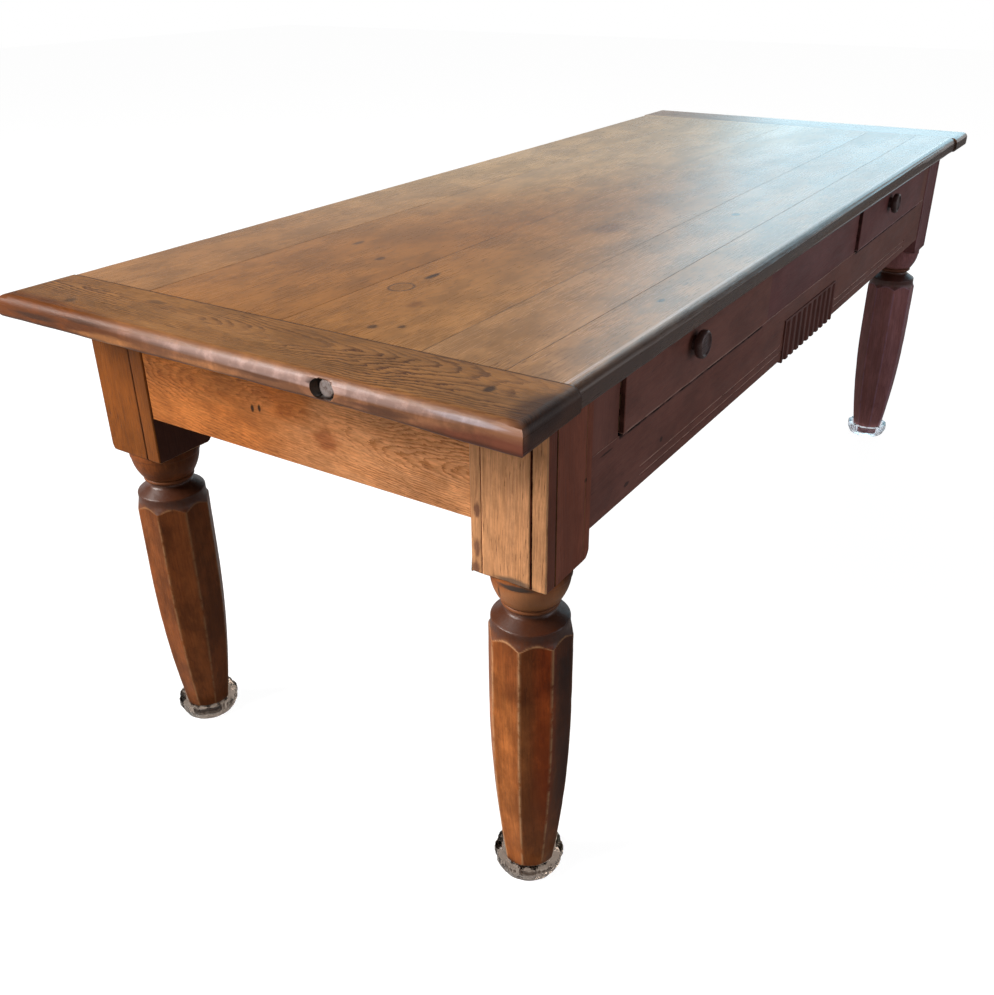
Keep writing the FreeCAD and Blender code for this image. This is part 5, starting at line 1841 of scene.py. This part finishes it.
@dataclass
class Aprons:
    """The end aprons, the front rail with its stiles and panel, the back apron and the fluted blocks."""

    groups: Groups
    rounding: float = 0.0012
    slice_step: float = 0.02
    dent: float = 0.0009
    dent_scale: float = 32.0
    upper_dent: float = 0.5
    drawer_middle: float = 0.516
    drawer_reach: float = 0.257
    shadow_gap: float = 0.0005
    shadow_levels: tuple[float, float] = (0.6385, 0.6415)
    shadow_slack: float = 0.0003
    line_levels: tuple[float, float] = (0.555, 0.60)
    line_depths: tuple[float, float] = (0.0006, 0.0025)
    flute_tone: Colour = (0.72, 0.72, 0.78)

    def knocked(self, place: Vector, edge: float) -> float:
        """The share of a dent: whole on the lower edge, less above it."""
        return edge if place.z < self.line_levels[0] else self.upper_dent * edge

    def board(self, node: str, axis: int) -> bpy.types.Mesh:
        """Softens one board.

        Args:
            node: the CAD node.
            axis: the axis along its length.

        Returns:
            The board's mesh.
        """
        bm = merged_node(node)
        soften(bm, self.rounding)
        layer = float_layer(bm, EDGE_LAYER)
        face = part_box(node)[0].y
        # The scribed lines' groove bottoms take the pale worn colour: painted highlight where they catch light.
        for vert in bm.verts:
            level = self.line_levels[0] < vert.co.z < self.line_levels[1]
            if axis == 0 and level and self.line_depths[0] < vert.co.y - face < self.line_depths[1]:
                vert[layer] = 1.0
        slice_along(bm, axis, self.slice_step)
        if node == "front_rail":
            self.shade(bm)
        wander(bm, self.dent, self.dent_scale, self.knocked)
        return to_mesh(bm, node + "_worn")

    def shade(self, bm: bmesh.types.BMesh) -> None:
        """Stamps a painted shadow line on the rail under each proud drawer front, in the hollow layer.

        Args:
            bm: the rail, changed in place.
        """
        slice_at(bm, 0, [sign * self.drawer_middle + way * self.drawer_reach for sign in (-1, 1) for way in (-1, 1)])
        slice_at(bm, 2, self.shadow_levels)
        layer = float_layer(bm, GRIME_AND_SHADE_LAYER)
        for vert in bm.verts:
            under = abs(abs(vert.co.x) - self.drawer_middle) < self.drawer_reach - self.shadow_gap
            vert[layer] = float(under and vert.co.z > self.shadow_levels[1] - self.shadow_slack)

    def fit(self, node: str, axis: int, finish: WoodFinish, lay: Lay, marks: Sequence[Mark] = ()) -> None:
        """Builds and dresses one board.

        Args:
            node: the CAD node.
            axis: the axis along its length.
            finish: its wood.
            lay: how its figure lies.
            marks: its marks.
        """
        material = finish.material(self.groups, node + "_wood", lay, marks)
        place_piece(node + "_worn", self.board(node, axis), material, Body.TABLE, node)

    def build(self) -> None:
        """Builds and dresses each apron piece."""
        for (side, sign), marks in zip(SIDES, (NEAR_APRON_MARKS, ())):
            lay = Lay(Grain.WIDTH, (sign * 0.91, -0.06, 0.655), 2.0, 7.0, 5.0 + sign)
            self.fit("end_apron_" + side, 1, APRON_FINISH, lay, marks)
        for node, y, z, tone, marks in (
            ("front_rail", -0.30, 0.59, PLAIN, RAIL_MARKS), ("front_panel", -0.33, 0.70, FAR_TONE, ()),
            ("back_apron", 0.30, 0.64, BACK_TONE, ()),
        ):
            lay = Lay(Grain.LENGTH, (0.1, y, z), 1.5, -1.1, 3.0 * z)
            self.fit(node, 0, toned(FRONT_SHADED_FINISH, tone), lay, marks)
        for side, sign in SIDES:
            lay = Lay(Grain.UPRIGHT, (sign * 0.81, -0.30, 0.69), 1.2, 1.0, sign)
            self.fit("front_stile_" + side, 2, FRONT_SHADED_FINISH, lay)
        self.fluted_blocks()

    def fluted_blocks(self) -> None:
        """Builds the two fluted blocks from one flute repeated along a line."""
        tree = flute_tree()
        for side, sign, tone in (("front", -1.0, self.flute_tone), ("back", 1.0, BACK_TONE)):
            node = "fluted_block_" + side
            low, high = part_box(node)
            lay = Lay(Grain.UPRIGHT, (0.05, sign * 0.32, 0.58), 1.5, 1.0, 1.7)
            material = toned(FRONT_SHADED_FINISH, tone).material(self.groups, node + "_wood", lay)
            flute = FluteShape(high.x - low.x, low.z, high.z, low.y, high.y, sign)
            mesh = grown(node + "_cut", tree, {
                "Flutes": flute.count, "Pitch": flute.pitch, "Start": low.x + flute.pitch / 2, "Wood": material,
            }, flute.mesh(node + "_flute"))
            place_piece(node + "_cut", mesh, material, Body.TABLE, node)


@dataclass
class FluteShape:
    """One upright flute of the fluted block, with the land on both its sides."""

    width: float
    low: float
    high: float
    near: float
    far: float
    sign: float
    count: int = 10
    radius: float = 0.009
    depth: float = 0.0055
    top_margin: float = 0.003
    run_out: float = 0.0035
    top_ease: float = 0.001
    top_inset: float = 0.0006
    land_ease: tuple[float, float] = (0.0012, 0.0004)
    land_inset: float = 0.0003
    arc_steps: int = 10

    @property
    def pitch(self) -> float:
        """The distance between flutes."""
        return self.width / self.count

    def section(self, face: float) -> list[tuple[float, float]]:
        """The flute's outline from above, from one end of the land to the other.

        Args:
            face: the land's place on Y.

        Returns:
            The outline's points on X and Y.
        """
        inward, half = -self.sign, self.pitch / 2
        axis = face + self.sign * (self.radius - self.depth)
        reach = math.sqrt(self.radius ** 2 - (self.radius - self.depth) ** 2)
        limit = math.asin(reach / self.radius)
        outer, inner = (reach + ease for ease in self.land_ease)
        eased = face + inward * self.land_inset
        arc = []
        for i in range(self.arc_steps + 1):
            angle = -limit + 2 * limit * i / self.arc_steps
            arc.append((self.radius * math.sin(angle), axis + inward * self.radius * math.cos(angle)))
        start = [(-half, face), (-outer, face), (-inner, eased)]
        return start + arc + [(inner, eased), (outer, face), (half, face)]

    def mesh(self, name: str) -> bpy.types.Mesh:
        """Builds the solid strip with one flute in its face.

        Args:
            name: the mesh's name.

        Returns:
            The mesh, centred on X 0.
        """
        face, back = (self.near, self.far) if self.sign < 0 else (self.far, self.near)
        half = self.pitch / 2
        flute_top = self.high - self.top_margin
        bm = bmesh.new()
        rows = []
        for z, share, inset in (
            (self.low, 1.0, 0.0), (flute_top - self.run_out, 1.0, 0.0), (flute_top, 0.0, 0.0),
            (self.high - self.top_ease, 0.0, 0.0), (self.high, 0.0, self.top_inset),
        ):
            row = [(x, face + (y - face) * share - inset * self.sign, z) for x, y in self.section(face)]
            rows.append([bm.verts.new(point) for point in row + [(half, back, z), (-half, back, z)]])
        for lower, upper in zip(rows, rows[1:]):
            for i, j in neighbours(len(lower)):
                bm.faces.new((lower[i], lower[j], upper[j], upper[i]))
        bm.faces.new(rows[0])
        bm.faces.new(rows[-1])
        bmesh.ops.recalc_face_normals(bm, faces=bm.faces)
        return filled_mesh(bm, bpy.data.meshes.new(name))


def flute_tree() -> bpy.types.NodeTree:
    """Builds the Geometry Nodes that repeat one flute along a line.

    Returns:
        The node tree.
    """
    inputs = (
        ("Geometry", Kind.GEOMETRY, None), ("Flutes", Kind.COUNT, 10), ("Pitch", Kind.FLOAT, 0.03),
        ("Start", Kind.FLOAT, 0.0), ("Wood", Kind.MATERIAL, None),
    )
    tree, given, result = new_group("flute_row", inputs, [("Geometry", Kind.GEOMETRY)], "GeometryNodeTree")
    value = given.outputs
    start, step = (tree.step("ShaderNodeCombineXYZ", X=value[label]) for label in ("Start", "Pitch"))
    line = tree.step("GeometryNodeMeshLine", Count=value["Flutes"], Start_Location=start, Offset=step)
    copies = tree.step("GeometryNodeInstanceOnPoints", Points=line, Instance=value["Geometry"])
    real = tree.step("GeometryNodeRealizeInstances", Geometry=copies)
    welded = tree.step("GeometryNodeMergeByDistance", Geometry=real, Distance=WELD)
    tree.fill(result, Geometry=tree.step("GeometryNodeSetMaterial", Geometry=welded, Material=value["Wood"]))
    return tree.tree


# Drawers


@dataclass
class Drawer:
    """One drawer: a proud front with a turned knob on a dovetailed box."""

    groups: Groups
    side: str
    body: Body
    rounding: float = 0.0020
    pale_line: float = 0.0045
    pale_ease: float = 0.001
    pale_depth: float = 0.0035
    end_skin: float = 0.0003
    end_shade: float = 0.55
    face_skin: float = 0.001
    slice_step: float = 0.02
    dent: float = 0.0008
    dent_scale: float = 36.0
    knob_sides: int = 64
    knob_radius: float = 0.0200
    knob_reach: float = 0.018
    knob_neck: float = 0.011
    knob_rubbed: float = 0.8
    knob_rim: tuple[int, int] = (10, 14)

    def node(self, piece: str) -> str:
        """The CAD node of one of the drawer's pieces."""
        return f"drawer_{self.side}_{piece}"

    def front(self) -> None:
        """Builds and dresses the drawer front."""
        node = self.node("front")
        low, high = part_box(node)
        bm = merged_node(node)
        soften(bm, self.rounding)
        darkening_layer = float_layer(bm, GRIME_AND_SHADE_LAYER)
        edge = float_layer(bm, EDGE_LAYER)
        pale = low.z + self.pale_line
        slice_at(bm, 2, [pale])
        for vert in bm.verts:
            # The front's end faces beside the stiles are darkened through the hollow layer: painted shade in the gaps.
            at_end = min(vert.co.x - low.x, high.x - vert.co.x) < self.end_skin
            vert[darkening_layer] = self.end_shade * float(at_end and vert.co.y > low.y + self.face_skin)
            if vert.co.z < pale - self.pale_ease and vert.co.y < low.y + self.pale_depth:
                vert[edge] = 1.0
        slice_along(bm, 0, self.slice_step)
        wander(bm, self.dent, self.dent_scale)
        lay = Lay(Grain.LENGTH, ((low.x + high.x) / 2, -0.33, 0.68), 2.0, 1.4, low.x * 3.0)
        finish = toned(FRONT_SHADED_FINISH, FAR_TONE) if low.x > 0.0 else FRONT_SHADED_FINISH
        material = finish.material(self.groups, node + "_wood", lay)
        place_piece(node + "_worn", to_mesh(bm, node + "_worn"), material, self.body, node)

    def knob_outline(self) -> list[tuple[float, float]]:
        """The knob's outline: neck, bulge, rim and hollow face.

        Returns:
            Reach from the drawer front and radius of each point.
        """
        neck = ((0.0, 1.0), (0.0015, 1.0), (0.0045, 0.96), (0.0058, 1.02), (0.0064, 1.18))
        bulge = (
            (0.0066, 0.80), (0.0074, 0.93), (0.0092, 0.99), (0.011, 1.0), (0.0135, 0.995), (0.0158, 0.97),
            (0.0172, 0.92),
        )
        face = (
            (0.0, 0.85), (0.0001, 0.80), (0.0006, 0.765), (0.0018, 0.73), (0.0024, 0.68), (0.0022, 0.5), (0.0016, 0.25),
        )
        outline = [(reach, self.knob_neck * share) for reach, share in neck]
        outline += [(reach, self.knob_radius * share) for reach, share in bulge]
        return outline + [(self.knob_reach - sunk, self.knob_radius * share) for sunk, share in face]

    def knob(self) -> None:
        """Builds and dresses the turned knob."""
        node = self.node("knob")
        middle = box_middle(node)
        middle.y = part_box(node)[1].y
        bm = bmesh.new()
        layer = float_layer(bm, EDGE_LAYER)
        angles = [math.tau * i / self.knob_sides for i in range(self.knob_sides)]
        rows = ring_mesh(bm, [
            [middle + Vector((radius * math.cos(a), -reach, radius * math.sin(a))) for a in angles]
            for reach, radius in self.knob_outline()
        ])
        for row in rows[slice(*self.knob_rim)]:
            for vert in row:
                vert[layer] = self.knob_rubbed
        bmesh.ops.recalc_face_normals(bm, faces=bm.faces)
        lay = Lay(Grain.LENGTH, (middle.x, middle.y, middle.z - 0.06), 4.0, 3.0, middle.x)
        material = KNOB_FINISH.material(self.groups, node + "_wood", lay)
        place_piece(node + "_turned", to_mesh(bm, node + "_turned"), material, self.body, node)

    def build(self) -> None:
        """Builds the visible pieces and dresses the box."""
        self.front()
        self.knob()
        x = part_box(self.node("left_side"))[0].x
        for wood, grain, y, pieces in (
            ("side_wood", Grain.WIDTH, 0.0, ("left_side", "right_side")),
            ("back_wood", Grain.LENGTH, 0.1, ("back", "bottom")),
        ):
            material = INNER_FINISH.material(self.groups, self.node(wood), Lay(grain, (x, y, 0.60), 1.5, 1.0, x))
            for piece in pieces:
                dress_node(self.node(piece), material)
        dress_node(self.node("knob_screw"), MetalFinish().material(self.node("screw_steel")))


# Inside


@dataclass
class InnerFrame:
    """The bearers, runners, guides, stops and screws under the top."""

    groups: Groups
    kinds: tuple[str, ...] = ("bearer", "runner", "guide", "drawer_stops")

    def build(self) -> None:
        """Dresses the hidden framing."""
        for node in sorted(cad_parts):
            if node.startswith(self.kinds):
                low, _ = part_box(node)
                lay = Lay(Grain.WIDTH, (low.x - 0.05, 0.0, low.z - 0.04), 1.5, 1.0, low.x)
                dress_node(node, INNER_FINISH.material(self.groups, node + "_wood", lay))
        dress_node("top_screws", MetalFinish().material("top_screw_steel"))


# Studio


@dataclass
class Studio:
    """The floor, the lamps, the white surround and the camera at the photo's viewing angle."""

    place: Point = (-1.8262, -0.88933, 1.177)
    right: Point = (0.537752, -0.843079, -0.006423)
    down: Point = (-0.400257, -0.248581, -0.882044)
    forward: Point = (0.742036, 0.476892, -0.471123)
    focal: float = 1023.70739
    middle: tuple[float, float] = (504.24913, 499.36286)
    sensor: float = 36.0
    sight: float = 60.0
    floor_size: float = 14.0
    floor_level: float = -0.0006
    floor_paint: Colour = (0.24, 0.24, 0.24)
    floor_glow: float = 0.95
    floor_gloss: float = 0.10
    dim: float = 0.13
    gloss_rise: tuple[float, float] = (0.13, 0.27)
    overhead: float = 0.06

    def camera(self) -> None:
        """Sets the camera."""
        data = bpy.data.cameras.new("photo_camera")
        data.sensor_fit = "HORIZONTAL"
        data.sensor_width = self.sensor
        data.lens = self.focal * self.sensor / PHOTO_WIDTH
        data.shift_x = (PHOTO_WIDTH / 2 - self.middle[0]) / PHOTO_WIDTH
        data.shift_y = (self.middle[1] - PHOTO_HEIGHT / 2) / PHOTO_WIDTH
        data.clip_end = self.sight
        axes = Matrix((self.right, -Vector(self.down), -Vector(self.forward))).transposed().to_4x4()
        camera = linked("photo_camera", data)
        camera.matrix_world = Matrix.Translation(self.place) @ axes
        bpy.context.scene.camera = camera

    def lamp(self, name: str, stand: Matrix, size: tuple[float, float], power: float, colour: Colour) -> None:
        """Hangs one soft rectangular lamp.

        Args:
            name: the lamp's name.
            stand: its place and turn, shining along its own -Z.
            size: its width and height.
            power: its power in watts.
            colour: its light.
        """
        data = bpy.data.lights.new(name, "AREA")
        data.shape = "RECTANGLE"
        data.size, data.size_y = size
        data.energy = power
        data.color = colour
        linked(name, data).matrix_world = stand

    def facing(self, place: Vector, aim: Vector) -> Matrix:
        """A stand at a place that faces a point."""
        return Matrix.Translation(place) @ (aim - place).to_track_quat("-Z", "Y").to_matrix().to_4x4()

    def floor(self) -> None:
        """Lays the pale floor, white to the camera except where the table shades it."""
        bm = bmesh.new()
        bmesh.ops.create_grid(bm, x_segments=8, y_segments=8, size=self.floor_size)
        for vert in bm.verts:
            vert.co.z = self.floor_level
        mesh = filled_mesh(bm, bpy.data.meshes.new("studio_floor"))
        material = bpy.data.materials.new("pale_floor")
        material.use_nodes = True
        material.node_tree.nodes.clear()
        tree = Tree(material.node_tree)
        path = tree.add("ShaderNodeLightPath").outputs
        seen = tree.larger(path["Is Camera Ray"], path["Is Transmission Ray"])
        seen = tree.larger(seen, tree.times(path["Is Glossy Ray"], self.floor_gloss))
        both = tree.add("ShaderNodeAddShader")
        tree.feed(both.inputs[0], tree.step("ShaderNodeBsdfDiffuse", Color=self.floor_paint))
        tree.feed(both.inputs[1], tree.step("ShaderNodeEmission", Strength=tree.times(seen, self.floor_glow)))
        tree.fill(tree.add("ShaderNodeOutputMaterial"), Surface=both.outputs[0])
        mesh.materials.append(material)
        floor = linked("studio_floor", mesh)

    def surround(self) -> None:
        """Makes the surround white to the camera and in glass, dimmer overhead in the wood's gloss."""
        world = bpy.data.worlds.new("studio_surround")
        bpy.context.scene.world = world
        world.use_nodes = True
        world.node_tree.nodes.clear()
        tree = Tree(world.node_tree)
        path = tree.add("ShaderNodeLightPath").outputs
        white = tree.larger(path["Is Camera Ray"], path["Is Transmission Ray"])
        rise = tree.add("ShaderNodeSeparateXYZ")
        tree.fill(rise, Vector=tree.add("ShaderNodeTexCoord").outputs["Generated"])
        gloss = tree.span(rise.outputs["Z"], *self.gloss_rise, 1.0, self.overhead)
        strength = tree.choose(white, tree.choose(path["Is Glossy Ray"], self.dim, gloss), 1.0)
        back = tree.step("ShaderNodeBackground", Color=PLAIN, Strength=strength)
        tree.fill(tree.add("ShaderNodeOutputWorld"), Surface=back)

    def build(self) -> None:
        """Builds the whole studio."""
        bpy.context.scene.view_settings.view_transform = "Standard"
        self.camera()
        self.floor()
        self.surround()
        middle = Vector((0.0, 0.0, 0.55))
        key = middle + Vector((-0.70, 0.49, 0.52)).normalized() * 4.6
        for name, place, aim, size, power, colour in (
            ("key_softbox", key, middle, (2.4, 2.0), 302.0, (1.0, 0.955, 0.915)),
            ("cool_fill", Vector((0.8, -4.6, 1.6)), middle, (3.0, 2.0), 36.0, (0.82, 0.86, 1.0)),
            ("end_fill", Vector((-3.6, 0.5, 0.5)), Vector((-0.95, 0.0, 0.62)), (1.8, 0.7), 9.0, (1.0, 0.95, 0.9)),
        ):
            self.lamp(name, self.facing(place, aim), size, power, colour)
        lean, out = Vector((0.0, 0.526, 0.85)).normalized(), Vector((1.0, 0.0, 0.0))
        window = Matrix((lean.cross(out), lean, out)).transposed().to_4x4()
        window.translation = Vector((4.0, 0.535, 2.58))
        self.lamp("window_panel", window, (2.6, 3.6), 64.0, (0.46, 0.82, 1.0))


def main() -> None:
    """Builds the sub-assemblies in order."""
    logging.basicConfig(level=logging.INFO, format="%(name)s %(message)s")
    Studio().build()
    groups = Groups()
    TableTop(groups).build()
    grey = (0.8, 0.8, 0.8)
    Leg(groups, "front", "left", turn=-6.0, flank_tone=(1.25, 0.98, 0.75)).build()
    Leg(
        groups, "back", "left", block_tone=(0.36, 0.215, 0.065), shaft_tone=(0.58, 0.54, 0.50), flank_tone=BACK_TONE
    ).build()
    # The front right leg's shaft and flanks are tinted purple-blue: painted cool light.
    Leg(
        groups, "front", "right", block_tone=grey, shaft_tone=(1.18, 1.55, 5.2), flank_tone=(0.95, 0.93, 1.25),
        patches=0.18, mottle=0.12, wear=0.2,
    ).build()
    Leg(groups, "back", "right", block_tone=grey, flank_tone=BACK_TONE, wear=0.5).build()
    GlassCups().build()
    Aprons(groups).build()
    Drawer(groups, "left", Body.DRAWER_LEFT).build()
    Drawer(groups, "right", Body.DRAWER_RIGHT).build()
    InnerFrame(groups).build()


if __name__ == "__main__":
    main()
